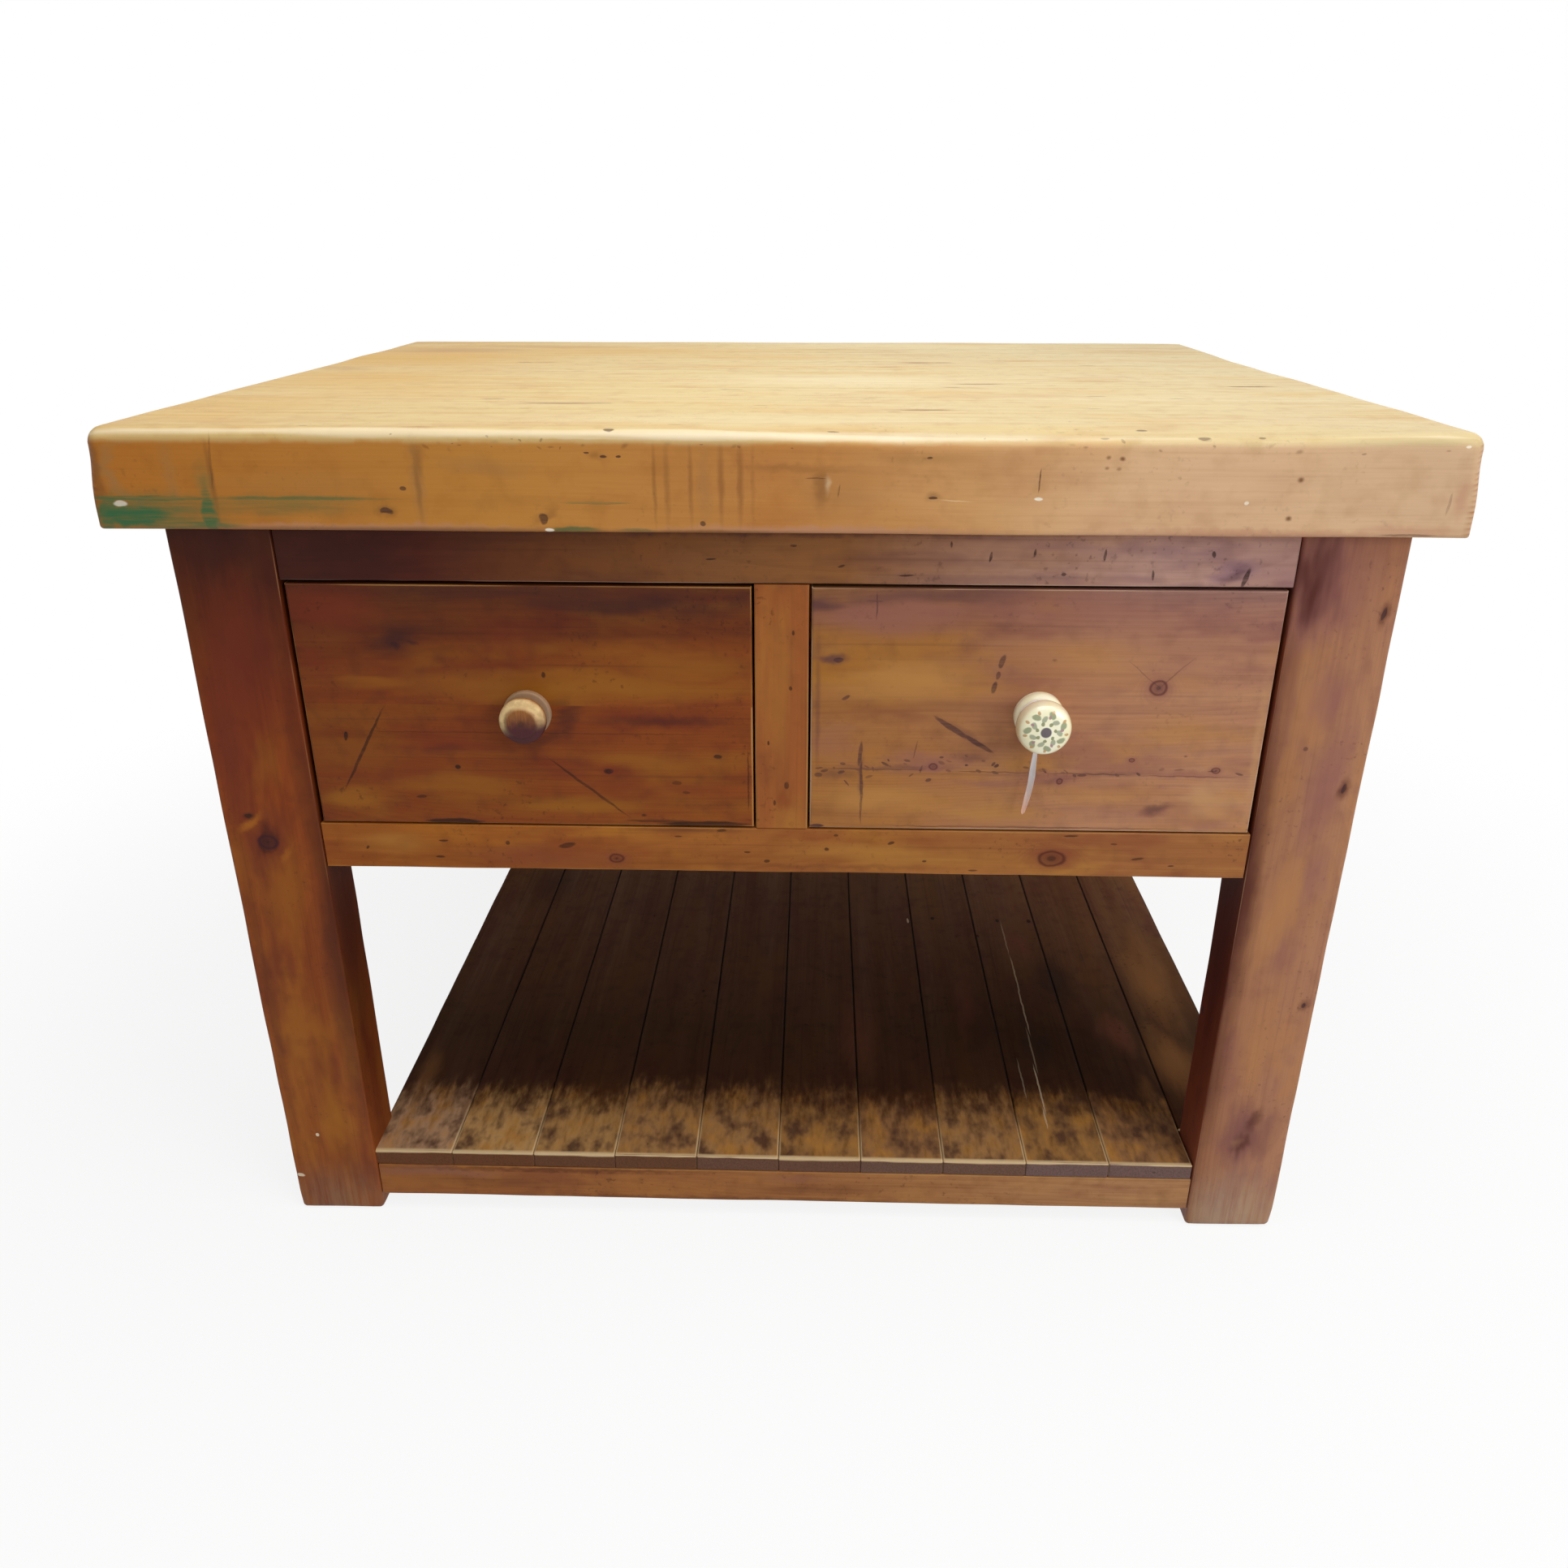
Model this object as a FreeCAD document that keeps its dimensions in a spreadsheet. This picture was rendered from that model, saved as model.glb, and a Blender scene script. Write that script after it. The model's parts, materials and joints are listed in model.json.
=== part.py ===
"""A pine kitchen work table: thick boarded worktop, four legs, two drawers and a slatted lower shelf.

The origin is at floor level, under the middle of the table's box. +X is to the right of a person who
faces the drawers, +Y runs from the drawer fronts to the back, and +Z is up. All lengths are in millimetres.
"""

import FreeCAD, Part
import math
import os
import re
import Sketcher

Vector = FreeCAD.Vector

# Counts that belong to the design.
WORKTOP_BOARDS = 5
SHELF_BOARDS = 10  # full-length boards between the left and the right legs
DOVETAILS = 4      # at each front corner of a drawer

# The driving dimensions, each written once.
SIZES = {
    # Worktop
    "table_height": 900,
    "worktop_depth": 975,
    "worktop_thickness": 91,
    "worktop_arris": 8,
    # Base under the worktop
    "base_width": 1136,
    "left_overhang": 52,
    "right_overhang": 42,
    "front_overhang": 15,
    "rear_overhang": 20,
    "leg_width": 98,
    "leg_depth": 65,
    "leg_arris": 3,
    "foot_arris": 7,
    # Front frame and its tenons
    "face_setback": 3,
    "top_rail_height": 50,
    "bottom_rail_height": 50,
    "opening_height": 252,
    "rail_thickness": 40,
    "stile_width": 52,
    "rail_arris": 2,
    "tenon_length": 35,
    "stub_tenon_length": 12,
    "tenon_thickness": 14,
    "tenon_shoulder": 6,
    "glue_room": 1,
    # Side and back panels
    "panel_thickness": 24,
    "panel_setback": 12,
    "panel_tenon_length": 25,
    "panel_tenon_thickness": 12,
    # Lower frame and shelf
    "lower_rail_base": 22,
    "lower_rail_height": 44,
    "lower_rail_thickness": 36,
    "shelf_thickness": 20,
    "shelf_lap": 5,
    "shelf_edge_setback": 6,
    "shelf_joint": 1,
    "shelf_arris": 1.5,
    "tongue_length": 6,
    "tongue_thickness": 6,
    # Drawer runners, kickers and stops
    "runner_width": 34,
    "runner_thickness": 24,
    "guide_height": 26,
    "kicker_width": 30,
    "kicker_clearance": 3,
    "stop_width": 40,
    "stop_depth": 14,
    "stop_height": 7,
    "stop_gap": 0.3,
    # Drawers
    "drawer_length": 560,
    "outer_gap": 3.5,
    "inner_gap": 2,
    "gap_above": 3,
    "gap_below": 1.5,
    "running_gap": 0.3,
    "drawer_front_thickness": 22,
    "drawer_front_arris": 2.5,
    "drawer_side_thickness": 14,
    "drawer_side_drop": 4,
    "drawer_back_thickness": 14,
    "drawer_back_drop": 10,
    "drawer_back_inset": 12,
    "drawer_bottom_thickness": 9,
    "drawer_bottom_rise": 12,
    "groove_depth": 6,
    "groove_room": 0.5,
    "dovetail_length": 16,
    "dovetail_tip": 38,
    "dovetail_root": 28,
    # Turned wooden knob
    "wood_knob_drop": 3,
    "wood_knob_length": 31,
    "wood_knob_diameter": 45,
    "wood_collar_diameter": 47,
    "wood_collar_thickness": 6,
    "wood_neck_diameter": 26,
    "wood_neck_top": 14,
    "wood_bead_start": 19,
    "wood_bead_end": 27,
    "wood_bead_width": 5,
    "spigot_diameter": 12,
    "spigot_length": 17,
    # Glazed ceramic knob and its screw
    "glazed_knob_length": 47,
    "glazed_knob_diameter": 53,
    "glazed_flange_diameter": 48,
    "glazed_flange_thickness": 7,
    "glazed_waist_diameter": 41,
    "glazed_waist_start": 12,
    "glazed_waist_end": 18,
    "glazed_head_start": 28,
    "glazed_face_round": 16,
    "glazed_back_round": 3,
    "knob_screw_diameter": 5,
    "knob_screw_bite": 20,
    "knob_screw_head_diameter": 10,
    "knob_screw_head_thickness": 3.5,
    "washer_diameter": 15,
    "washer_thickness": 1.2,
    "screw_slot_width": 1.4,
    "hole_clearance": 0.1,
    # Narrow tape tied round the ceramic knob's waist
    "tape_thickness": 1,
    "tape_width": 5,
    "tape_tail_diameter": 3,
    "tape_tail_angle": 20,
    # Wooden buttons that hold the worktop down
    "button_width": 30,
    "button_length": 36,
    "button_thickness": 22,
    "button_tongue_length": 9,
    "button_tongue_thickness": 9,
    "button_screw_diameter": 4,
    "button_screw_head_diameter": 9,
    "button_screw_bite": 30,
}

# Planes and lengths that several pieces share, as expressions of the driving dimensions.
KNOB_REACH = "max(max(wood_knob_length; glazed_knob_length) - front_overhang - face_setback; 0)"
FRONT_EDGE = f"(({KNOB_REACH} - worktop_depth) / 2)"
UNDERSIDE = "(table_height - worktop_thickness)"
BOARD_DEPTH = f"(worktop_depth / {WORKTOP_BOARDS})"
WORKTOP_WIDTH = "(left_overhang + base_width + right_overhang)"
BASE_LEFT = f"(left_overhang - {WORKTOP_WIDTH} / 2)"
BASE_RIGHT = f"({BASE_LEFT} + base_width)"
BASE_FRONT = f"({FRONT_EDGE} + front_overhang)"
BASE_BACK = f"({FRONT_EDGE} + worktop_depth - rear_overhang)"
INNER_LEFT = f"({BASE_LEFT} + leg_width)"
INNER_RIGHT = f"({BASE_RIGHT} - leg_width)"
INNER_WIDTH = "(base_width - 2 * leg_width)"
INNER_FRONT = f"({BASE_FRONT} + leg_depth)"
INNER_BACK = f"({BASE_BACK} - leg_depth)"
FACE = f"({BASE_FRONT} + face_setback)"
REAR_FACE = f"({BASE_BACK} - face_setback)"
RAIL_BACK = f"({FACE} + rail_thickness)"
OPENING_TOP = f"({UNDERSIDE} - top_rail_height)"
OPENING_BOTTOM = f"({OPENING_TOP} - opening_height)"
CASE_BOTTOM = f"({OPENING_BOTTOM} - bottom_rail_height)"
CASE_HEIGHT = "(top_rail_height + opening_height + bottom_rail_height)"
OPENING_WIDTH = f"(({INNER_WIDTH} - stile_width) / 2)"
STILE_LEFT = f"({INNER_LEFT} + {OPENING_WIDTH})"
STILE_RIGHT = f"({STILE_LEFT} + stile_width)"
PANEL_INNER = "(panel_setback + panel_thickness)"
BACK_PANEL_FRONT = f"({BASE_BACK} - {PANEL_INNER})"
SHELF_BASE = "(lower_rail_base + lower_rail_height)"
SHELF_PITCH = f"(({INNER_WIDTH} + shelf_lap) / {SHELF_BOARDS})"
SHELF_LENGTH = f"({REAR_FACE} - {FACE})"
TENON_INSET = "((rail_thickness - tenon_thickness) / 2)"
LOWER_TENON_INSET = "((lower_rail_thickness - tenon_thickness) / 2)"
PANEL_TENON_INSET = "((panel_thickness - panel_tenon_thickness) / 2)"
DRAWER_WIDTH = f"({OPENING_WIDTH} - outer_gap - inner_gap)"
SIDE_BASE = f"({OPENING_BOTTOM} + running_gap)"
SIDE_HEIGHT = "(opening_height - gap_above - drawer_side_drop - running_gap)"
FRONT_BASE = f"({OPENING_BOTTOM} + gap_below)"
FRONT_HEIGHT = "(opening_height - gap_above - gap_below)"
CASE_TENON_HEIGHT = f"({CASE_HEIGHT} - 2 * tenon_shoulder)"
LOWER_TENON_HEIGHT = "(lower_rail_height - 2 * tenon_shoulder)"
BUTTON_GROOVE_BASE = "(button_thickness + glue_room)"
BUTTON_GROOVE_HEIGHT = "(button_tongue_thickness + glue_room)"
BUTTON_GROOVE_DEPTH = "(button_tongue_length + glue_room)"
BUTTON_SCREW_INSET = "(button_length / 2)"
LEFT_DRAWER_LOW = f"({INNER_LEFT} + outer_gap)"
RIGHT_DRAWER_LOW = f"({STILE_RIGHT} + inner_gap)"
WOOD_KNOB_RISE = f"({FRONT_HEIGHT} / 2 - wood_knob_drop)"
GLAZED_KNOB_RISE = f"({FRONT_HEIGHT} / 2)"
WOOD_KNOB_HEIGHT = f"({FRONT_BASE} + {WOOD_KNOB_RISE})"
GLAZED_KNOB_HEIGHT = f"({FRONT_BASE} + {GLAZED_KNOB_RISE})"

document = FreeCAD.newDocument("kitchen_table")
sheet = document.addObject("Spreadsheet::Sheet", "Size")
sub_parts = []


def fill_sheet():
    """Writes each driving dimension into the spreadsheet, beside its name, and gives its cell that alias."""
    for row, (alias, size) in enumerate(SIZES.items(), 1):
        sheet.set(f"A{row}", alias)
        sheet.set(f"B{row}", str(size))
        sheet.setAlias(f"B{row}", alias)
    document.recompute()


def bound(expression):
    """The expression with the name of each size turned into a reference to its cell."""
    return re.sub("[a-z_]+", lambda word: f"Size.{word[0]}" if word[0] in SIZES else word[0], expression)


def amount(expression):
    """What an expression of the sizes comes to."""
    return float(sheet.evalExpression(bound(expression)))


def vector(x, y, z):
    """A point or a direction given as three expressions."""
    return Vector(amount(x), amount(y), amount(z))


# ---- Helpers that build one feature each -------------------------------------------------------------

def new_piece(label, low, turn=None):
    """A body whose own origin stands at a place given as three expressions, turned if a rotation is given."""
    body = document.addObject("PartDesign::Body", label)
    if turn:
        body.Placement = FreeCAD.Placement(Vector(), turn)
    for axis, place in zip("xyz", low):
        body.setExpression(f"Placement.Base.{axis}", bound(place))
    sub_parts.append(body)
    return body


def new_sketch(body, name, plane, offset):
    """An empty sketch on one of the body's origin planes, moved along the plane's normal."""
    sketch = body.newObject("Sketcher::SketchObject", name)
    planes = [feature for feature in body.Origin.OriginFeatures if feature.Role == plane]
    sketch.AttachmentSupport = [(planes[0], "")]
    sketch.MapMode = "FlatFace"
    sketch.setExpression("AttachmentOffset.Base.z", bound(offset))
    return sketch


def pin_point(sketch, geometry, end, place):
    """Ties one point of a sketch to a place given as two expressions."""
    for kind, coordinate in zip(("DistanceX", "DistanceY"), place):
        row = sketch.addConstraint(Sketcher.Constraint(kind, -1, 1, geometry, end, amount(coordinate)))
        sketch.setExpression(f"Constraints[{row}]", bound(coordinate))


def outline(body, name, loops, plane="XY_Plane", offset="0"):
    """A sketch of closed loops, each a list of corners given as pairs of expressions."""
    sketch = new_sketch(body, name, plane, offset)
    for corners in loops:
        first = sketch.GeometryCount
        points = [Vector(amount(x), amount(y), 0) for x, y in corners]
        for start, end in zip(points, points[1:] + points[:1]):
            sketch.addGeometry(Part.LineSegment(start, end))
        for number, corner in enumerate(corners):
            before = first + (number - 1) % len(corners)
            sketch.addConstraint(Sketcher.Constraint("Coincident", before, 2, first + number, 1))
            pin_point(sketch, first + number, 1, corner)
    return sketch


def extrude(body, name, sketch, length, cut=False):
    """Pads a sketch along its normal, or pockets the body along it."""
    feature = body.newObject("PartDesign::Pocket" if cut else "PartDesign::Pad", name)
    feature.Profile = sketch
    feature.setExpression("Length", bound(length))
    feature.Reversed = cut
    body.Tip = feature


def block(body, name, low, size, cut=False):
    """Adds a rectangular block to the body, or cuts one out of it."""
    (x, y, z), (width, depth, height) = low, size
    corners = [(x, y), (f"{x} + {width}", y), (f"{x} + {width}", f"{y} + {depth}"), (x, f"{y} + {depth}")]
    extrude(body, name, outline(body, f"{name}_outline", [corners], offset=z), height, cut)


def round_holes(body, name, centres, diameter, plane, start, depth):
    """Cuts round holes of one diameter into the body, along the normal of one of its planes."""
    sketch = new_sketch(body, f"{name}_outline", plane, start)
    for number, (x, y) in enumerate(centres):
        centre = Vector(amount(x), amount(y), 0)
        sketch.addGeometry(Part.Circle(centre, Vector(0, 0, 1), amount(diameter) / 2))
        pin_point(sketch, number, 3, (x, y))
        row = sketch.addConstraint(Sketcher.Constraint("Diameter", number, amount(diameter)))
        sketch.setExpression(f"Constraints[{row}]", bound(diameter))
    extrude(body, name, sketch, depth, cut=True)


def edges_on(shape, corners):
    """Names of the straight edges where two faces of the shape's box meet, such as ("XMin", "ZMax")."""
    touch = 0.01

    def lies_on(edge, face):
        level = getattr(shape.BoundBox, face)
        ends = (getattr(edge.BoundBox, face[0] + "Min"), getattr(edge.BoundBox, face[0] + "Max"))
        return all(abs(end - level) < touch for end in ends)

    return [f"Edge{number}" for number, edge in enumerate(shape.Edges, 1)
            if any(all(lies_on(edge, face) for face in corner) for corner in corners)]


def edges_round(shape, height, radius):
    """Names of the circular edges of a turned shape at a height along its axis and of a radius."""
    touch = 0.01
    return [f"Edge{number}" for number, edge in enumerate(shape.Edges, 1)
            if isinstance(edge.Curve, Part.Circle) and abs(edge.Curve.Radius - radius) < touch
            and abs(edge.Curve.Center.z - height) < touch]


def ease(body, name, kind, size, names):
    """Fillets or chamfers the named edges of the body as it stands."""
    base = body.Tip
    feature = body.newObject(f"PartDesign::{kind}", name)
    feature.Base = (base, names)
    feature.setExpression("Radius" if kind == "Fillet" else "Size", bound(size))
    body.Tip = feature


def ease_corners(body, name, kind, size, corners):
    """Fillets or chamfers the straight edges that edges_on finds."""
    document.recompute()
    ease(body, name, kind, size, edges_on(body.Tip.Shape, corners))


def turn_profile(body, name, corners):
    """Turns a profile, given as radius and height pairs, round the body's Z axis."""
    sketch = outline(body, f"{name}_profile", [corners], plane="XZ_Plane")
    feature = body.newObject("PartDesign::Revolution", name)
    feature.Profile = sketch
    feature.ReferenceAxis = (sketch, ["V_Axis"])
    feature.Angle = 360
    body.Tip = feature
    document.recompute()


def new_group(label, solids):
    """One object that holds identical pieces as separate solids."""
    group = document.addObject("Part::Feature", label)
    group.Shape = Part.makeCompound(solids)
    sub_parts.append(group)


# ---- Worktop -----------------------------------------------------------------------------------------

def button_places():
    """Where each worktop button meets its rail or panel: board, x, y and the turn about Z in degrees."""
    across = [f"({BASE_LEFT} + base_width * {share})" for share in ("0.25", "0.5", "0.75")]
    left = f"({BASE_LEFT} + {PANEL_INNER})"
    right = f"({BASE_RIGHT} - {PANEL_INNER})"
    places = [(0, x, RAIL_BACK, 0) for x in across]
    places += [(WORKTOP_BOARDS - 1, x, BACK_PANEL_FRONT, 180) for x in across]
    for board in (1, WORKTOP_BOARDS - 2):
        middle = f"({FRONT_EDGE} + {BOARD_DEPTH} * ({board} + 0.5))"
        places += [(board, left, middle, -90), (board, right, middle, 90)]
    return places


def screw_place(x, y, turn):
    """Where the screw of a button stands: halfway along it, away from the rail or panel."""
    step = {0: ("0", "1"), 180: ("0", "-1"), -90: ("1", "0"), 90: ("-1", "0")}[turn]
    return f"({x} + {step[0]} * {BUTTON_SCREW_INSET})", f"({y} + {step[1]} * {BUTTON_SCREW_INSET})"


def worktop():
    """Thick boards glued edge to edge, with rounded outer edges and pilot holes for the button screws."""
    for board in range(WORKTOP_BOARDS):
        low_y = f"({FRONT_EDGE} + {board} * {BOARD_DEPTH})"
        body = new_piece(f"worktop_board_{board + 1}", (f"(-{WORKTOP_WIDTH} / 2)", low_y, UNDERSIDE))
        block(body, "board", ("0", "0", "0"), (WORKTOP_WIDTH, BOARD_DEPTH, "worktop_thickness"))
        corners = [("XMin", "ZMax"), ("XMax", "ZMax")]
        outer = {0: "YMin", WORKTOP_BOARDS - 1: "YMax"}.get(board)
        if outer:
            corners += [(outer, "ZMax"), ("XMin", outer), ("XMax", outer)]
        ease_corners(body, "worn_edges", "Fillet", "worktop_arris", corners)
        centres = [screw_place(x, y, turn) for where, x, y, turn in button_places() if where == board]
        if centres:
            local = [(f"({x} + {WORKTOP_WIDTH} / 2)", f"({y} - {low_y})") for x, y in centres]
            round_holes(body, "pilot_holes", local, "button_screw_diameter + 2 * hole_clearance",
                        "XY_Plane", "0", "button_screw_bite + glue_room")


def button():
    """One wooden button: a block against the worktop whose lower tongue enters the groove on its -Y side."""
    width, length = amount("button_width"), amount("button_length")
    thickness, tongue = amount("button_thickness"), amount("button_tongue_length")
    lip = amount("button_tongue_thickness")
    inset, radius = amount(BUTTON_SCREW_INSET), amount("button_screw_diameter / 2 + hole_clearance")
    head = amount("button_screw_head_diameter / 2 + hole_clearance")
    body = Part.makeBox(width, length, thickness, Vector(-width / 2, 0, -thickness))
    body = body.fuse(Part.makeBox(width, tongue, lip, Vector(-width / 2, -tongue, -thickness)))
    centre = Vector(0, inset, -thickness)
    body = body.cut(Part.makeCylinder(radius, thickness, centre))
    return body.cut(Part.makeCone(head, radius, head - radius, centre)).removeSplitter()


def button_screw():
    """One countersunk screw that stands in a button and bites into the worktop."""
    radius, head = amount("button_screw_diameter / 2"), amount("button_screw_head_diameter / 2")
    slot = amount("screw_slot_width")
    base = Vector(0, amount(BUTTON_SCREW_INSET), -amount("button_thickness"))
    shank = Part.makeCylinder(radius, amount("button_thickness + button_screw_bite"), base)
    screw = shank.fuse(Part.makeCone(head, radius, head - radius, base))
    cut = Part.makeBox(2 * head, slot, slot, base + Vector(-head, -slot / 2, 0))
    return screw.cut(cut).removeSplitter()


def worktop_fixings():
    """The buttons and their screws, each kind one group."""
    for label, one in (("worktop_buttons", button()), ("worktop_button_screws", button_screw())):
        solids = []
        for _, x, y, turn in button_places():
            copy = one.copy()
            copy.rotate(Vector(), Vector(0, 0, 1), turn)
            copy.translate(vector(x, y, UNDERSIDE))
            solids.append(copy)
        new_group(label, solids)


# ---- Legs --------------------------------------------------------------------------------------------

def side_mortise(body, name, right, y, z, thickness, height, depth):
    """Cuts a mortise into the leg's face that looks at the other leg across the table's width."""
    start = "0" if right else f"leg_width - {depth}"
    block(body, name, (start, y, z), (depth, thickness, height), cut=True)


def leg(right, back):
    """One leg, with its mortises for the rails, the side panel, the back panel and the lower frame."""
    label = f"{'back' if back else 'front'}_{'right' if right else 'left'}_leg"
    low_x = f"({BASE_RIGHT} - leg_width)" if right else BASE_LEFT
    low_y = INNER_BACK if back else BASE_FRONT
    body = new_piece(label, (low_x, low_y, "0"))
    block(body, "post", ("0", "0", "0"), ("leg_width", "leg_depth", UNDERSIDE))
    ease_corners(body, "foot", "Fillet", "foot_arris",
                 [("XMin", "ZMin"), ("XMax", "ZMin"), ("YMin", "ZMin"), ("YMax", "ZMin")])
    ease_corners(body, "arrises", "Fillet", "leg_arris",
                 [("XMin", "YMin"), ("XMax", "YMin"), ("XMin", "YMax"), ("XMax", "YMax")])
    deep, panel_deep = "(tenon_length + glue_room)", "(panel_tenon_length + glue_room)"
    if back:
        y = f"(leg_depth - {PANEL_INNER} + {PANEL_TENON_INSET})"
        side_mortise(body, "back_panel_mortise", right, y, f"{CASE_BOTTOM} + tenon_shoulder",
                     "panel_tenon_thickness", CASE_TENON_HEIGHT, panel_deep)
    else:
        for name, base, height in (("top", OPENING_TOP, "top_rail_height"),
                                   ("bottom", CASE_BOTTOM, "bottom_rail_height")):
            side_mortise(body, f"{name}_rail_mortise", right, f"(face_setback + {TENON_INSET})",
                         f"{base} + tenon_shoulder", "tenon_thickness", f"({height} - 2 * tenon_shoulder)",
                         deep)
    inset = f"(face_setback + {LOWER_TENON_INSET})"
    y = f"(leg_depth - {inset} - tenon_thickness)" if back else inset
    side_mortise(body, "lower_rail_mortise", right, y, "lower_rail_base + tenon_shoulder",
                 "tenon_thickness", LOWER_TENON_HEIGHT, deep)
    panel_inset = f"(panel_setback + {PANEL_TENON_INSET})"
    x = f"(leg_width - {panel_inset} - panel_tenon_thickness)" if right else panel_inset
    start = "0" if back else f"(leg_depth - {panel_deep})"
    block(body, "side_panel_mortise", (x, start, f"{CASE_BOTTOM} + tenon_shoulder"),
          ("panel_tenon_thickness", panel_deep, CASE_TENON_HEIGHT), cut=True)
    if right:
        x = f"(leg_width - shelf_edge_setback - {LOWER_TENON_INSET} - tenon_thickness)"
        block(body, "outer_rail_mortise", (x, start, "lower_rail_base + tenon_shoulder"),
              ("tenon_thickness", panel_deep, LOWER_TENON_HEIGHT), cut=True)


# ---- Front frame and panels --------------------------------------------------------------------------

def cross_rail(label, front, base, height, thickness, tenon_inset, worn=()):
    """A rail across the table's width whose two tenons enter the legs."""
    body = new_piece(label, (f"({INNER_LEFT} - tenon_length)", front, base))
    block(body, "rail", ("tenon_length", "0", "0"), (INNER_WIDTH, thickness, height))
    if worn:
        ease_corners(body, "worn_edge", "Fillet", "rail_arris", worn)
    for name, x in (("left_tenon", "0"), ("right_tenon", f"(tenon_length + {INNER_WIDTH})")):
        block(body, name, (x, tenon_inset, "tenon_shoulder"),
              ("tenon_length", "tenon_thickness", f"({height} - 2 * tenon_shoulder)"))
    return body


def stile_mortise(body, base):
    """Cuts the mortise for the centre stile's stub tenon into a front rail."""
    x = f"(tenon_length + {OPENING_WIDTH} + tenon_shoulder)"
    block(body, "stile_mortise", (x, TENON_INSET, base),
          ("(stile_width - 2 * tenon_shoulder)", "tenon_thickness", "(stub_tenon_length + glue_room)"),
          cut=True)


def button_groove(body, low, size):
    """Cuts the groove that the tongues of the worktop buttons enter, along a rail or panel."""
    block(body, "button_groove", low, size, cut=True)


def front_frame():
    """The two rails and the stile that frame the drawer openings."""
    top = cross_rail("front_top_rail", FACE, OPENING_TOP, "top_rail_height", "rail_thickness",
                     TENON_INSET, [("YMin", "ZMin")])
    stile_mortise(top, "0")
    button_groove(top, ("tenon_length", f"rail_thickness - {BUTTON_GROOVE_DEPTH}",
                        f"top_rail_height - {BUTTON_GROOVE_BASE}"),
                  (INNER_WIDTH, BUTTON_GROOVE_DEPTH, BUTTON_GROOVE_HEIGHT))
    bottom = cross_rail("front_bottom_rail", FACE, CASE_BOTTOM, "bottom_rail_height", "rail_thickness",
                        TENON_INSET, [("YMin", "ZMin"), ("YMin", "ZMax")])
    stile_mortise(bottom, "bottom_rail_height - stub_tenon_length - glue_room")
    stile = new_piece("centre_stile", (STILE_LEFT, FACE, f"({OPENING_BOTTOM} - stub_tenon_length)"))
    block(stile, "stile", ("0", "0", "stub_tenon_length"),
          ("stile_width", "rail_thickness", "opening_height"))
    ease_corners(stile, "worn_edges", "Fillet", "rail_arris", [("XMin", "YMin"), ("XMax", "YMin")])
    for name, z in (("lower_tenon", "0"), ("upper_tenon", "(stub_tenon_length + opening_height)")):
        block(stile, name, ("tenon_shoulder", TENON_INSET, z),
              ("(stile_width - 2 * tenon_shoulder)", "tenon_thickness", "stub_tenon_length"))


def side_panel(right):
    """The board that closes one side of the drawer case, with a tenon into the leg at each end."""
    low_x = f"({BASE_RIGHT} - {PANEL_INNER})" if right else f"({BASE_LEFT} + panel_setback)"
    body = new_piece(f"{'right' if right else 'left'}_side_panel",
                     (low_x, f"({INNER_FRONT} - panel_tenon_length)", CASE_BOTTOM))
    length = f"({INNER_BACK} - {INNER_FRONT})"
    block(body, "panel", ("0", "panel_tenon_length", "0"), ("panel_thickness", length, CASE_HEIGHT))
    for name, y in (("front_tenon", "0"), ("back_tenon", f"(panel_tenon_length + {length})")):
        block(body, name, (PANEL_TENON_INSET, y, "tenon_shoulder"),
              ("panel_tenon_thickness", "panel_tenon_length", CASE_TENON_HEIGHT))
    inner = "0" if right else f"(panel_thickness - {BUTTON_GROOVE_DEPTH})"
    button_groove(body, (inner, "panel_tenon_length", f"({CASE_HEIGHT} - {BUTTON_GROOVE_BASE})"),
                  (BUTTON_GROOVE_DEPTH, length, BUTTON_GROOVE_HEIGHT))


def back_panel():
    """The board that closes the back of the drawer case, tenoned into the back legs."""
    body = new_piece("back_panel", (f"({INNER_LEFT} - panel_tenon_length)", BACK_PANEL_FRONT, CASE_BOTTOM))
    block(body, "panel", ("panel_tenon_length", "0", "0"), (INNER_WIDTH, "panel_thickness", CASE_HEIGHT))
    for name, x in (("left_tenon", "0"), ("right_tenon", f"(panel_tenon_length + {INNER_WIDTH})")):
        block(body, name, (x, PANEL_TENON_INSET, "tenon_shoulder"),
              ("panel_tenon_length", "panel_tenon_thickness", CASE_TENON_HEIGHT))
    button_groove(body, ("panel_tenon_length", "0", f"({CASE_HEIGHT} - {BUTTON_GROOVE_BASE})"),
                  (INNER_WIDTH, BUTTON_GROOVE_DEPTH, BUTTON_GROOVE_HEIGHT))


# ---- Lower frame and shelf ---------------------------------------------------------------------------

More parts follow.
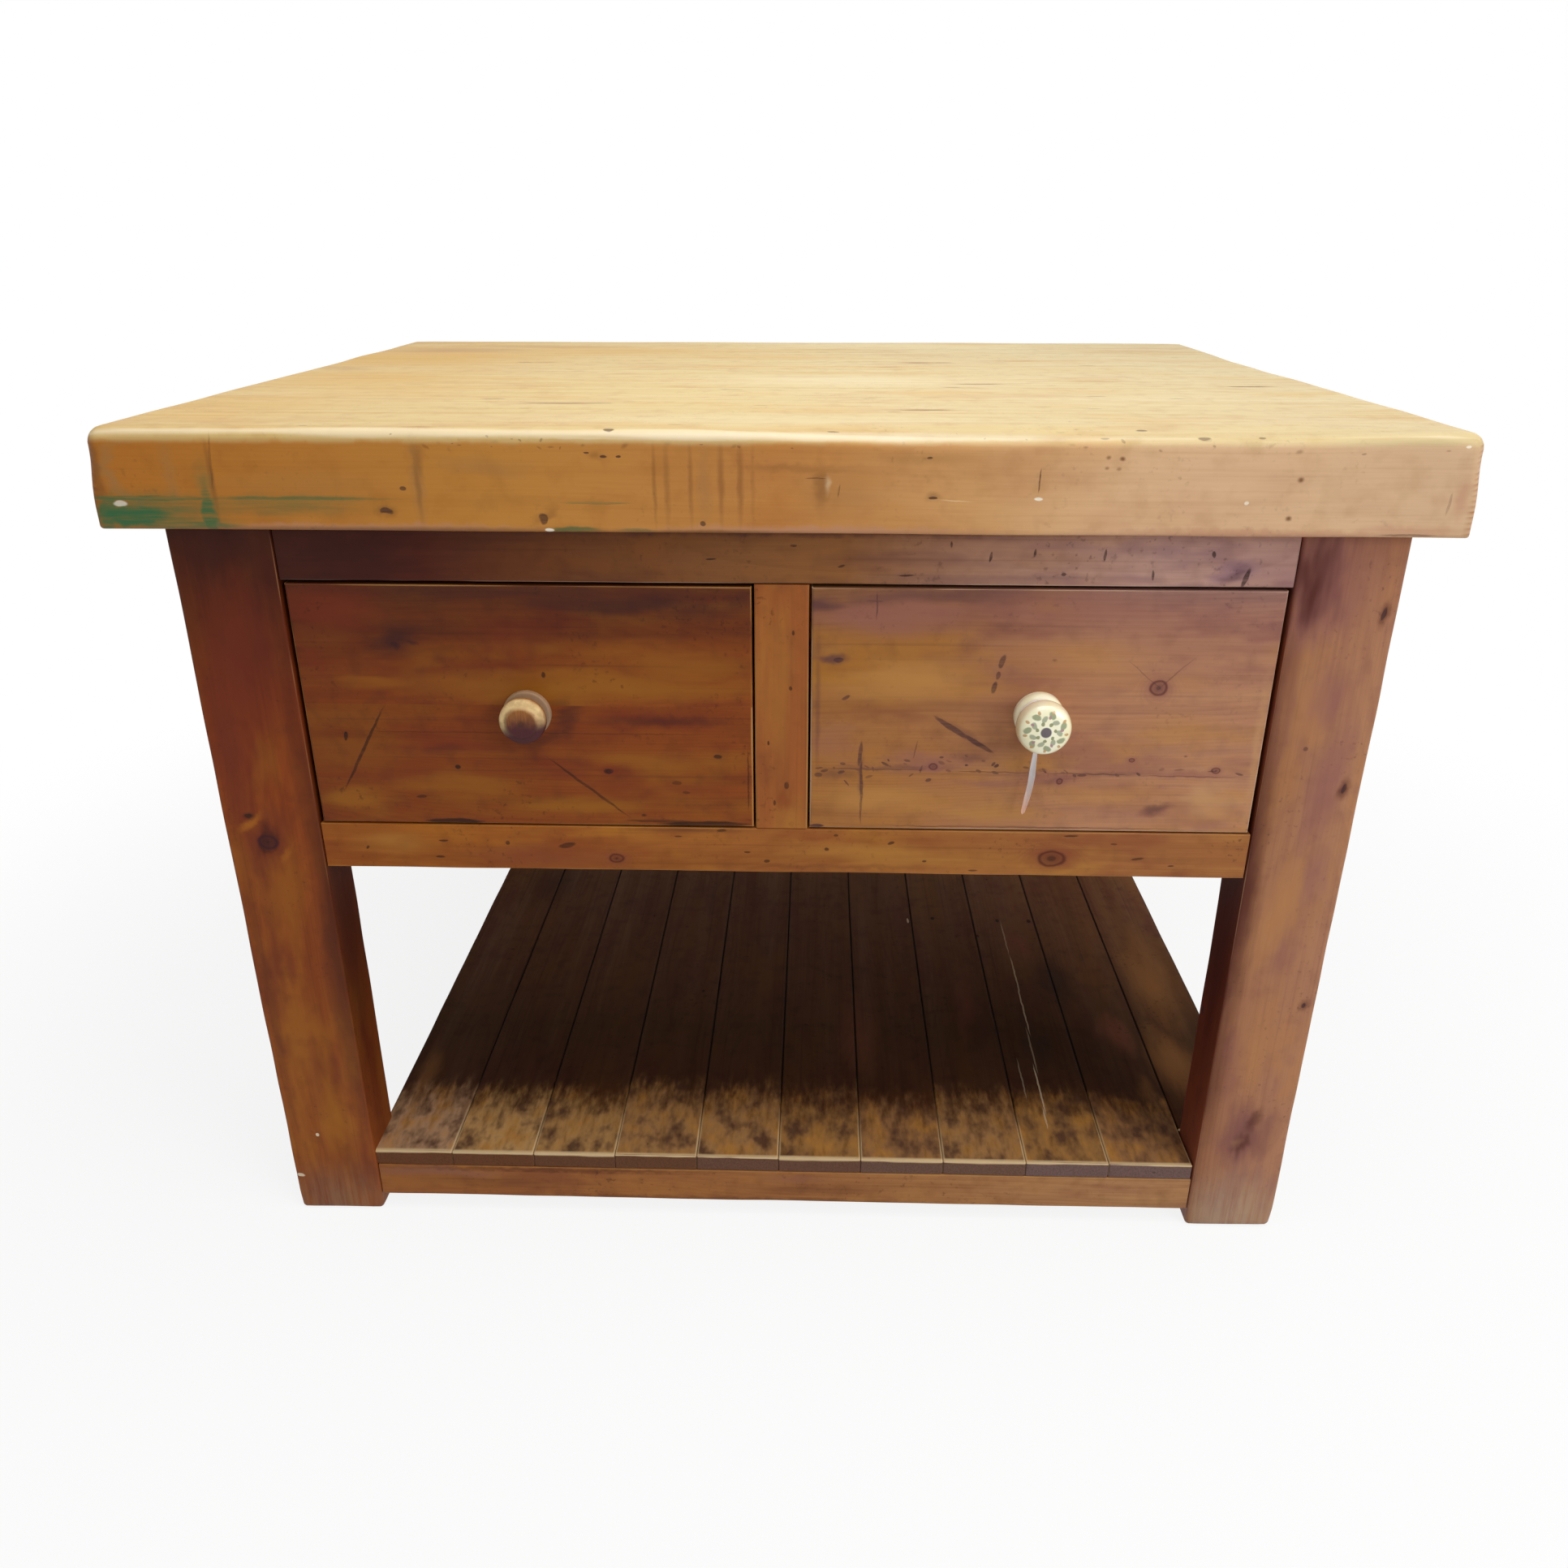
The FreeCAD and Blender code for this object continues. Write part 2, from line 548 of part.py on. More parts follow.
def lower_frame():
    """The low rails between the legs and the bearers from front to back that carry the shelf."""
    cross_rail("lower_front_rail", FACE, "lower_rail_base", "lower_rail_height", "lower_rail_thickness",
               LOWER_TENON_INSET)
    cross_rail("lower_back_rail", f"({REAR_FACE} - lower_rail_thickness)", "lower_rail_base",
               "lower_rail_height", "lower_rail_thickness", LOWER_TENON_INSET)
    start = f"({FACE} + lower_rail_thickness)"
    length = f"({SHELF_LENGTH} - 2 * lower_rail_thickness)"
    for name, x in (("left", INNER_LEFT),
                    ("centre", f"({INNER_LEFT} + ({INNER_WIDTH} - lower_rail_thickness) / 2)"),
                    ("right", f"({INNER_RIGHT} - lower_rail_thickness)")):
        body = new_piece(f"lower_{name}_bearer", (x, start, "lower_rail_base"))
        block(body, "bearer", ("0", "0", "0"), ("lower_rail_thickness", length, "lower_rail_height"))
    outer = new_piece("lower_outer_rail",
                      (f"({BASE_RIGHT} - shelf_edge_setback - lower_rail_thickness)",
                       f"({INNER_FRONT} - panel_tenon_length)", "lower_rail_base"))
    span = f"({INNER_BACK} - {INNER_FRONT})"
    block(outer, "rail", ("0", "panel_tenon_length", "0"),
          ("lower_rail_thickness", span, "lower_rail_height"))
    for name, y in (("front_tenon", "0"), ("back_tenon", f"(panel_tenon_length + {span})")):
        block(outer, name, (LOWER_TENON_INSET, y, "tenon_shoulder"),
              ("tenon_thickness", "panel_tenon_length", LOWER_TENON_HEIGHT))


def shelf_board(number, low_x, low_y, width, length):
    """One floor board from front to back, with a tongue on its left edge and a groove in its right edge.

    The first board has no tongue, and the last one no groove.
    """
    outermost = number > SHELF_BOARDS
    body = new_piece(f"shelf_board_{number:02d}", (f"({low_x} - tongue_length)", low_y, SHELF_BASE))
    face = width if outermost else f"({width} - shelf_joint)"
    block(body, "board", ("tongue_length", "0", "0"), (face, length, "shelf_thickness"))
    ease_corners(body, "arrises", "Fillet", "shelf_arris",
                 [("XMin", "ZMax"), ("XMax", "ZMax"), ("YMin", "ZMax"), ("YMax", "ZMax")])
    middle = "((shelf_thickness - tongue_thickness) / 2)"
    if number > 1:
        block(body, "tongue", ("0", "0", middle), ("tongue_length", length, "tongue_thickness"))
    if not outermost:
        depth = "(tongue_length - shelf_joint + groove_room)"
        block(body, "groove", (f"(tongue_length + {face} - {depth})", "0", middle),
              (depth, length, "tongue_thickness"), cut=True)
    return body


def shelf():
    """Tongued and grooved boards: the first laps the left legs, the last lies between the right ones."""
    left = f"({INNER_LEFT} - shelf_lap)"
    for number in range(1, SHELF_BOARDS + 1):
        low_x = f"({left} + {number - 1} * {SHELF_PITCH})"
        body = shelf_board(number, low_x, FACE, SHELF_PITCH, SHELF_LENGTH)
        if number == 1:
            notch = "(leg_depth - face_setback)"
            for name, y in (("front_notch", "0"), ("back_notch", f"({SHELF_LENGTH} - {notch})")):
                block(body, name, ("tongue_length", y, "0"), ("shelf_lap", notch, "shelf_thickness"),
                      cut=True)
    shelf_board(SHELF_BOARDS + 1, INNER_RIGHT, INNER_FRONT, "(leg_width - shelf_edge_setback)",
                f"({INNER_BACK} - {INNER_FRONT})")


# ---- Runners, kickers and stops ----------------------------------------------------------------------

def long_strip(label, x, z, width, height, start=RAIL_BACK, end=BACK_PANEL_FRONT):
    """A plain strip from front to back inside the drawer case."""
    body = new_piece(label, (x, start, z))
    block(body, "strip", ("0", "0", "0"), (width, f"({end} - {start})", height))


def runners():
    """Strips under the drawer sides, and the guides beside them that keep the drawers in line."""
    base = f"({OPENING_BOTTOM} - runner_thickness)"
    height = "(runner_thickness + guide_height)"
    beside = f"(leg_width - {PANEL_INNER})"
    long_strip("left_runner", INNER_LEFT, base, "runner_width", "runner_thickness")
    long_strip("right_runner", f"({INNER_RIGHT} - runner_width)", base, "runner_width", "runner_thickness")
    long_strip("centre_runner", f"({STILE_LEFT} - runner_width)", base,
               "(stile_width + 2 * runner_width)", "runner_thickness")
    long_strip("left_guide", f"({BASE_LEFT} + {PANEL_INNER})", base, beside, height, INNER_FRONT, INNER_BACK)
    long_strip("right_guide", INNER_RIGHT, base, beside, height, INNER_FRONT, INNER_BACK)
    long_strip("centre_guide", STILE_LEFT, OPENING_BOTTOM, "stile_width", "guide_height")


def kickers():
    """Strips above the drawer sides, clear of the worktop buttons, that keep an open drawer from tipping."""
    height = "(top_rail_height - button_thickness - kicker_clearance)"
    for label, x, width in (("left_kicker", INNER_LEFT, "kicker_width"),
                            ("centre_kicker", f"({STILE_LEFT} - kicker_width)",
                             "(stile_width + 2 * kicker_width)"),
                            ("right_kicker", f"({INNER_RIGHT} - kicker_width)", "kicker_width")):
        long_strip(label, x, OPENING_TOP, width, height)


def drawer_stops():
    """Two blocks on the bottom rail behind each drawer front, which stop the closed drawer."""
    width, depth, height = (amount(f"stop_{side}") for side in ("width", "depth", "height"))
    y = f"({FACE} + drawer_front_thickness + stop_gap)"
    solids = []
    for opening in (INNER_LEFT, STILE_RIGHT):
        for share in ("0.25", "0.75"):
            x = f"({opening} + {OPENING_WIDTH} * {share} - stop_width / 2)"
            solids.append(Part.makeBox(width, depth, height, vector(x, y, OPENING_BOTTOM)))
    new_group("drawer_stops", solids)


# ---- Drawers -----------------------------------------------------------------------------------------

def dovetail_loops(base):
    """The tails on a drawer side as outlines in length and height, from the front's back face forwards."""
    loops = []
    for number in range(DOVETAILS):
        middle = f"({base} + {SIDE_HEIGHT} * ({number} + 0.5) / {DOVETAILS})"
        root, tip = "drawer_front_thickness", "(drawer_front_thickness - dovetail_length)"
        loops.append([(tip, f"({middle} - dovetail_tip / 2)"), (root, f"({middle} - dovetail_root / 2)"),
                      (root, f"({middle} + dovetail_root / 2)"), (tip, f"({middle} + dovetail_tip / 2)")])
    return loops


def drawer_front(name, low_x, knob_rise, knob_hole, hole_depth):
    """The drawer front, with sockets for the sides' tails, a groove for the bottom and the knob's hole."""
    body = new_piece(f"{name}_drawer_front", (low_x, FACE, FRONT_BASE))
    block(body, "front", ("0", "0", "0"), (DRAWER_WIDTH, "drawer_front_thickness", FRONT_HEIGHT))
    ease_corners(body, "worn_edges", "Fillet", "drawer_front_arris",
                 [("XMin", "YMin"), ("XMax", "YMin"), ("YMin", "ZMin"), ("YMin", "ZMax")])
    for side, start in (("left", "0"), ("right", f"({DRAWER_WIDTH} - drawer_side_thickness)")):
        sockets = outline(body, f"{side}_socket_outline", dovetail_loops("(running_gap - gap_below)"),
                          "YZ_Plane", start)
        extrude(body, f"{side}_sockets", sockets, "drawer_side_thickness", cut=True)
    inset = "(drawer_side_thickness - groove_depth)"
    base = "(running_gap + drawer_bottom_rise - gap_below)"
    block(body, "bottom_groove", (inset, "(drawer_front_thickness - groove_depth)", base),
          (f"({DRAWER_WIDTH} - 2 * {inset})", "groove_depth", "drawer_bottom_thickness"), cut=True)
    round_holes(body, "knob_hole", [(f"({DRAWER_WIDTH} / 2)", knob_rise)], knob_hole, "XZ_Plane",
                f"(-{hole_depth})", hole_depth)


def drawer_side(name, side, low_x):
    """One drawer side: tails at its front end, a groove for the bottom and a housing for the back."""
    right = side == "right"
    body = new_piece(f"{name}_drawer_{side}_side", (low_x, FACE, SIDE_BASE))
    block(body, "side", ("0", "drawer_front_thickness", "0"),
          ("drawer_side_thickness", "(drawer_length - drawer_front_thickness)", SIDE_HEIGHT))
    tails = outline(body, "tail_outline", dovetail_loops("0"), "YZ_Plane")
    extrude(body, "tails", tails, "drawer_side_thickness")
    inner = "0" if right else "(drawer_side_thickness - groove_depth)"
    start = "(drawer_front_thickness - groove_depth)"
    block(body, "bottom_groove", (inner, start, "drawer_bottom_rise"),
          ("groove_depth", f"(drawer_length - {start})", "drawer_bottom_thickness"), cut=True)
    back = "(drawer_length - drawer_back_inset - drawer_back_thickness)"
    top = "(drawer_bottom_rise + drawer_bottom_thickness)"
    block(body, "back_housing", (inner, back, top),
          ("groove_depth", "drawer_back_thickness", f"({SIDE_HEIGHT} - {top})"), cut=True)


def drawer(name, low_x, knob_rise, knob_hole, hole_depth):
    """One drawer box without its knob: front, two sides, back and bottom."""
    drawer_front(name, low_x, knob_rise, knob_hole, hole_depth)
    drawer_side(name, "left", low_x)
    drawer_side(name, "right", f"({low_x} + {DRAWER_WIDTH} - drawer_side_thickness)")
    inset = "(drawer_side_thickness - groove_depth + groove_room)"
    width = f"({DRAWER_WIDTH} - 2 * {inset})"
    floor = "(drawer_bottom_rise + drawer_bottom_thickness)"
    back = new_piece(f"{name}_drawer_back",
                     (f"({low_x} + {inset})",
                      f"({FACE} + drawer_length - drawer_back_inset - drawer_back_thickness)",
                      f"({SIDE_BASE} + {floor})"))
    block(back, "back", ("0", "0", "0"),
          (width, "drawer_back_thickness", f"({SIDE_HEIGHT} - {floor} - drawer_back_drop)"))
    reach = "(groove_depth - groove_room)"
    bottom = new_piece(f"{name}_drawer_bottom",
                       (f"({low_x} + {inset})", f"({FACE} + drawer_front_thickness - {reach})",
                        f"({SIDE_BASE} + drawer_bottom_rise)"))
    block(bottom, "bottom", ("0", "0", "0"),
          (width, f"(drawer_length - drawer_front_thickness - drawer_back_inset / 2 + {reach})",
           "drawer_bottom_thickness"))


# ---- Knobs -------------------------------------------------------------------------------------------

OUTWARDS = FreeCAD.Rotation(Vector(1, 0, 0), 90)  # turns a knob's own +Z to the table's -Y


def wooden_knob(low_x):
    """A turned knob in one piece with its spigot: collar, neck, bead rim and a raised face."""
    body = new_piece("wooden_knob", (f"({low_x} + {DRAWER_WIDTH} / 2)", f"({FACE} + spigot_length)",
                                     WOOD_KNOB_HEIGHT), OUTWARDS)
    face_radius = "(wood_knob_diameter / 2 - wood_bead_width)"
    profile = [("0", "0"), ("spigot_diameter / 2", "0"), ("spigot_diameter / 2", "spigot_length"),
               ("wood_collar_diameter / 2", "spigot_length"),
               ("wood_collar_diameter / 2", "spigot_length + wood_collar_thickness"),
               ("wood_neck_diameter / 2", "spigot_length + wood_collar_thickness"),
               ("wood_neck_diameter / 2", "spigot_length + wood_neck_top"),
               ("wood_knob_diameter / 2", "spigot_length + wood_bead_start"),
               ("wood_knob_diameter / 2", "spigot_length + wood_bead_end"),
               (face_radius, "spigot_length + wood_bead_end"),
               (face_radius, "spigot_length + wood_knob_length"),
               ("0", "spigot_length + wood_knob_length")]
    turn_profile(body, "turning", profile)
    rounds = [("rim", "(wood_bead_width * 0.8)", "wood_bead_end", "wood_knob_diameter / 2"),
              ("rim_back", "(wood_bead_width * 0.6)", "wood_bead_start", "wood_knob_diameter / 2"),
              ("face", "((wood_knob_length - wood_bead_end) * 0.9)", "wood_knob_length", face_radius),
              ("collar", "(wood_collar_thickness * 0.5)", "wood_collar_thickness",
               "wood_collar_diameter / 2")]
    for name, radius, height, where in rounds:
        document.recompute()
        names = edges_round(body.Tip.Shape, amount(f"spigot_length + {height}"), amount(where))
        ease(body, f"{name}_round", "Fillet", radius, names)


def ceramic_knob(low_x):
    """A glazed knob with a flange, a shallow waist and a domed head, bored from behind for its screw."""
    body = new_piece("ceramic_knob", (f"({low_x} + {DRAWER_WIDTH} / 2)", FACE, GLAZED_KNOB_HEIGHT),
                     OUTWARDS)
    bore = "(knob_screw_diameter / 2 + hole_clearance)"
    profile = [(bore, "0"), ("glazed_flange_diameter / 2", "0"),
               ("glazed_flange_diameter / 2", "glazed_flange_thickness"),
               ("glazed_waist_diameter / 2", "glazed_waist_start"),
               ("glazed_waist_diameter / 2", "glazed_waist_end"),
               ("glazed_knob_diameter / 2", "glazed_head_start"),
               ("glazed_knob_diameter / 2", "glazed_knob_length"),
               ("0", "glazed_knob_length"),
               ("0", "(knob_screw_bite + glue_room)"), (bore, "(knob_screw_bite + glue_room)")]
    turn_profile(body, "turning", profile)
    face_round = "min(glazed_face_round; 0.8 * (glazed_knob_length - glazed_head_start))"
    rounds = [("face", face_round, "glazed_knob_length", "glazed_knob_diameter / 2"),
              ("head_back", "glazed_back_round", "glazed_head_start", "glazed_knob_diameter / 2"),
              ("waist_front", "glazed_back_round", "glazed_waist_end", "glazed_waist_diameter / 2"),
              ("waist_back", "glazed_back_round", "glazed_waist_start", "glazed_waist_diameter / 2"),
              ("flange", "(glazed_flange_thickness / 3)", "glazed_flange_thickness",
               "glazed_flange_diameter / 2")]
    for name, radius, height, where in rounds:
        document.recompute()
        ease(body, f"{name}_round", "Fillet", radius,
             edges_round(body.Tip.Shape, amount(height), amount(where)))


def knob_screw(low_x):
    """The ceramic knob's screw, with its slotted head and washer inside the drawer."""
    centre = f"({low_x} + {DRAWER_WIDTH} / 2)"
    seat = f"({FACE} + drawer_front_thickness)"
    length = "(washer_thickness + drawer_front_thickness + knob_screw_bite)"
    shank, head = "knob_screw_diameter / 2", "knob_screw_head_diameter / 2"
    top = "knob_screw_head_thickness"
    screw = new_piece("ceramic_knob_screw",
                      (centre, f"({seat} + washer_thickness + {top})", GLAZED_KNOB_HEIGHT), OUTWARDS)
    turn_profile(screw, "turning", [("0", "0"), (head, "0"), (head, top), (shank, top),
                                    (shank, f"({top} + {length})"), ("0", f"({top} + {length})")])
    corners = [("0", "0"), (head, "0"), (head, "screw_slot_width"), ("0", "screw_slot_width")]
    for name, side in (("slot_right", "1"), ("slot_left", "-1")):
        loop = [(f"{side} * {x}", f"({y} - screw_slot_width / 2)") for x, y in corners]
        extrude(screw, name, outline(screw, f"{name}_outline", [loop]), "screw_slot_width", cut=True)
    washer = new_piece("ceramic_knob_washer", (centre, f"({seat} + washer_thickness)", GLAZED_KNOB_HEIGHT),
                       OUTWARDS)
    inner = "(knob_screw_diameter / 2 + hole_clearance)"
    turn_profile(washer, "turning", [(inner, "0"), ("washer_diameter / 2", "0"),
                                     ("washer_diameter / 2", "washer_thickness"),
                                     (inner, "washer_thickness")])


# ---- Tape on the ceramic knob ------------------------------------------------------------------------

# Steps of the tape's tail from one point of its route to the next: right, away from the drawer, and down.
TAIL_STEPS = [(-1, 0.5, 19), (-0.5, -1.5, 20), (-2.5, -1.5, 18), (-3.6, 0.5, 17)]
ARC_SHARE = 0.45  # of the shorter run, which each bend takes up


def rounded_route(points):
    """A path of straight runs joined by tangent arcs through a list of points; prints each bend's radius."""
    edges, start = [], points[0]
    for before, corner, after in zip(points, points[1:], points[2:]):
        come, go = corner - before, after - corner
        reach = ARC_SHARE * min(come.Length, go.Length)
        first = corner - come * (reach / come.Length)
        last = corner + go * (reach / go.Length)
        bisector = (last + first) * 0.5 - corner
        half_turn = come.getAngle(go) / 2
        radius = reach / math.tan(half_turn)
        centre = corner + bisector * ((radius ** 2 + reach ** 2) ** 0.5 / bisector.Length)
        middle = centre - bisector * (radius / bisector.Length)
        edges += [Part.LineSegment(start, first).toShape(), Part.Arc(first, middle, last).toShape()]
        print(f"tape bend radius {radius:.0f} mm")
        start = last
    edges.append(Part.LineSegment(start, points[-1]).toShape())
    return Part.Wire(edges)


def knob_tape(low_x):
    """The loop round the knob's waist and the tail that hangs from it, a thin round-edged strip."""
    centre = vector(f"({low_x} + {DRAWER_WIDTH} / 2)", FACE, GLAZED_KNOB_HEIGHT)
    waist = amount("glazed_waist_diameter / 2 + hole_clearance")
    thick, wide = amount("tape_thickness"), amount("tape_width")
    middle = amount("(glazed_waist_start + glazed_waist_end) / 2")
    start = centre + Vector(0, -(middle - wide / 2), 0)
    outer = Part.makeCylinder(waist + thick, wide, start, Vector(0, -1, 0))
    loop = outer.cut(Part.makeCylinder(waist, wide, start, Vector(0, -1, 0)))
    new_group("knob_tape_loop", [loop])
    radius = amount("tape_tail_diameter / 2")
    lean = math.radians(amount("tape_tail_angle"))
    start = waist + thick + radius / 2
    points = [centre + Vector(-start * math.sin(lean), -middle, -start * math.cos(lean))]
    for right, out, down in TAIL_STEPS:
        points.append(points[-1] + Vector(right, -out, -down))
    route = rounded_route(points)
    section = Part.Wire([Part.Circle(points[0], points[1] - points[0], radius).toShape()])
    tail = route.makePipeShell([section], True, False)
    expected = math.pi * radius ** 2 * route.Length
    print(f"tape tail volume {tail.Volume:.1f}, section times length {expected:.1f} cubic mm")
    new_group("knob_tape_tail", [tail])


# ---- Assembly ----------------------------------------------------------------------------------------

def build_table():
    """Builds every piece of the table."""
    worktop()
    worktop_fixings()
    for right in (False, True):
        for back in (False, True):
            leg(right, back)
        side_panel(right)
    front_frame()
    back_panel()
    lower_frame()
    shelf()
    runners()
    kickers()
    drawer_stops()
    drawer("left", LEFT_DRAWER_LOW, WOOD_KNOB_RISE, "(spigot_diameter + 2 * hole_clearance)",
           "(spigot_length + glue_room)")
    drawer("right", RIGHT_DRAWER_LOW, GLAZED_KNOB_RISE, "(knob_screw_diameter + 2 * hole_clearance)",
           "drawer_front_thickness")
    wooden_knob(LEFT_DRAWER_LOW)
    ceramic_knob(RIGHT_DRAWER_LOW)
    knob_screw(RIGHT_DRAWER_LOW)
    knob_tape(RIGHT_DRAWER_LOW)
    document.recompute()


def check_and_export():
    """Stops if an object failed or a piece is not a valid solid, then writes each piece to its own file."""
    for thing in document.Objects:
        if {"Invalid", "Error"} & set(thing.State):
            raise RuntimeError(f"{thing.Label} failed: {thing.State}")
    for piece in sub_parts:
        if piece.Shape.isNull() or not piece.Shape.isValid() or not piece.Shape.Solids:
            raise RuntimeError(f"{piece.Label} is not a valid solid")
    os.makedirs("parts", exist_ok=True)
    for piece in sub_parts:
        piece.Shape.exportStep(f"parts/{piece.Label}.step")
    print(f"{len(sub_parts)} pieces written")


fill_sheet()
build_table()
check_and_export()
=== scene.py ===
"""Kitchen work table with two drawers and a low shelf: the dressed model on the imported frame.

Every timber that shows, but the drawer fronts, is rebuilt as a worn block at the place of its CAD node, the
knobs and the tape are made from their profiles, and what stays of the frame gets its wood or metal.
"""
import json
import logging
import math
from collections.abc import Iterable
from dataclasses import dataclass, replace
from enum import Enum

import bpy
import numpy as np
from mathutils import Matrix, Vector

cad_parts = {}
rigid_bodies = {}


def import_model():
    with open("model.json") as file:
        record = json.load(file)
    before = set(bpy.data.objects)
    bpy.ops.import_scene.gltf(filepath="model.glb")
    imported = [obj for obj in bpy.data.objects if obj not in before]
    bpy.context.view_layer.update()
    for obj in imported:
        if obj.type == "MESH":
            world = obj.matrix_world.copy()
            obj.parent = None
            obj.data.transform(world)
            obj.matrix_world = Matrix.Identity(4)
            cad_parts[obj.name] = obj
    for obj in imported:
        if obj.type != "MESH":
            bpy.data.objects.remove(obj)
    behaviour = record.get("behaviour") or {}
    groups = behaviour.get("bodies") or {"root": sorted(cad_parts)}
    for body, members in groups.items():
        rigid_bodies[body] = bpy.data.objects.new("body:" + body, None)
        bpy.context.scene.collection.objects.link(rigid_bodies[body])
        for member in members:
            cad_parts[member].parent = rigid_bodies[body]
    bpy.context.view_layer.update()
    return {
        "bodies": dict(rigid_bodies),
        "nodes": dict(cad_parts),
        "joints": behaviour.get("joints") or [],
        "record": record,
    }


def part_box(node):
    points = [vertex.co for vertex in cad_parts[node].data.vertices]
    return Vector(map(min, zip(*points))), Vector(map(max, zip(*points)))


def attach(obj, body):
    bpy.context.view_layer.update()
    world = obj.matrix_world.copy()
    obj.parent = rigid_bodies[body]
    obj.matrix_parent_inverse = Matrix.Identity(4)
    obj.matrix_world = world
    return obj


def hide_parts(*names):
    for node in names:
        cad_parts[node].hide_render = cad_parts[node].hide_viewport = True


LOG = logging.getLogger("kitchen_table")
MM = 0.001
IMAGE_SIDE = 1932
TABLE, LEFT_DRAWER, RIGHT_DRAWER = "table", "left_drawer", "right_drawer"
FRAME: dict = {}

Array = np.ndarray
Point = tuple[float, float, float]
Socket = bpy.types.NodeSocket
Source = float | tuple | str | Socket | None

# For each kind of node, its property that holds the chosen option.
OPTIONS = {"Math": "operation", "VectorMath": "operation", "MapRange": "interpolation_type",
           "MixRGB": "blend_type", "Mapping": "vector_type", "TexGradient": "gradient_type",
           "TexWhiteNoise": "noise_dimensions"}


# ---------------------------------------------------------------- colours and nodes


def paint(code: str) -> tuple[float, float, float, float]:
    """Turns an sRGB hex colour to the linear colour that a shader takes.

    Args:
        code: six hex digits, with or without a leading #.

    Returns:
        Linear red, green, blue and an alpha of 1.
    """
    shares = [int(code.lstrip("#")[i:i + 2], 16) / 255 for i in (0, 2, 4)]
    linear = [s / 12.92 if s <= 0.04045 else ((s + 0.055) / 1.055) ** 2.4 for s in shares]
    return (*linear, 1.0)


class Graph:
    """The node tree of a new material or world."""

    def __init__(self, owner: bpy.types.Material | bpy.types.World) -> None:
        """Empties the tree of its owner.

        Args:
            owner: a material or a world.
        """
        self.owner = owner
        owner.use_nodes = True
        self.tree = owner.node_tree
        self.tree.nodes.clear()

    def add(self, kind: str, *sources: Source, named: dict[str, Source] | None = None, out: int | str = 0,
            **settings: object) -> Socket:
        """Adds a node, sets it and links it.

        Args:
            kind: the node's type without its ShaderNode prefix, and its chosen option after a point.
            sources: a value, a hex colour or an output for each input in order, None to leave one as it is.
            named: the same for inputs by name.
            out: the output to return, by place or name.
            settings: the node's own properties.

        Returns:
            The chosen output.
        """
        kind, _, option = kind.partition(".")
        node = self.tree.nodes.new("ShaderNode" + kind)
        if option:
            setattr(node, OPTIONS[kind], option)
        for key, value in settings.items():
            setattr(node, key, value)
        for key, source in [*enumerate(sources), *(named or {}).items()]:
            if isinstance(source, Socket):
                self.tree.links.new(source, node.inputs[key])
            elif source is not None:
                node.inputs[key].default_value = paint(source) if isinstance(source, str) else source
        return node.outputs[out] if len(node.outputs) else node.inputs[0]

    def dress(self, piece: bpy.types.Object) -> None:
        """Puts the material in every slot of a piece.

        Args:
            piece: a mesh object.
        """
        if not piece.material_slots:
            piece.data.materials.append(self.owner)
        for slot in piece.material_slots:
            slot.material = self.owner


# ---------------------------------------------------------------- shapes


def swell(points: Array, wave: float, seed: int) -> Array:
    """Smooth unevenness: the sum of nine plane sine waves in drawn directions, each about one wave long.

    Args:
        points: places, one row each, in metres.
        wave: the middle wavelength in metres.
        seed: seed of the draw.

    Returns:
        A value for each place, about -1 to 1.
    """
    draw = np.random.default_rng(seed)
    ways = draw.normal(size=(9, 3))
    ways /= np.linalg.norm(ways, axis=1)[:, None]
    ways *= 2 * np.pi / (wave * draw.uniform(0.6, 1.7, (9, 1)))
    return np.clip(np.sin(points @ ways.T + draw.uniform(0, 2 * np.pi, 9)).sum(1) / 4, -1, 1)


def ease_in(value: Array, start: float, end: float) -> Array:
    """Smooth step: 3t squared minus 2t cubed, where t runs from 0 at start to 1 at end."""
    t = np.clip((value - start) / (end - start), 0, 1)
    return t * t * (3 - 2 * t)


def new_piece(name: str, points: Array, faces: Array, body: str, slot: str, nodes: tuple[str, ...],
              crease: float = 35.0) -> bpy.types.Object:
    """Makes a mesh piece that stands for CAD nodes and rides with their body.

    Args:
        name: the piece's name.
        points: vertices in metres, in the frame.
        faces: rows of four vertex numbers.
        body: the CAD body that it rides with.
        slot: the record's material slot; not used.
        nodes: the CAD nodes that it replaces.
        crease: the angle in degrees above which an edge stays sharp.

    Returns:
        The new object, at the origin.
    """
    mesh = bpy.data.meshes.new(name)
    mesh.from_pydata(points.tolist(), [], faces.tolist())
    mesh.polygons.foreach_set("use_smooth", np.ones(len(mesh.polygons), bool))
    mesh.set_sharp_from_angle(angle=math.radians(crease))
    mesh.update()
    piece = bpy.data.objects.new(name, mesh)
    bpy.context.scene.collection.objects.link(piece)
    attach(piece, body)
    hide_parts(*nodes)
    LOG.info("%s: %d vertices on %s", name, len(points), body)
    return piece


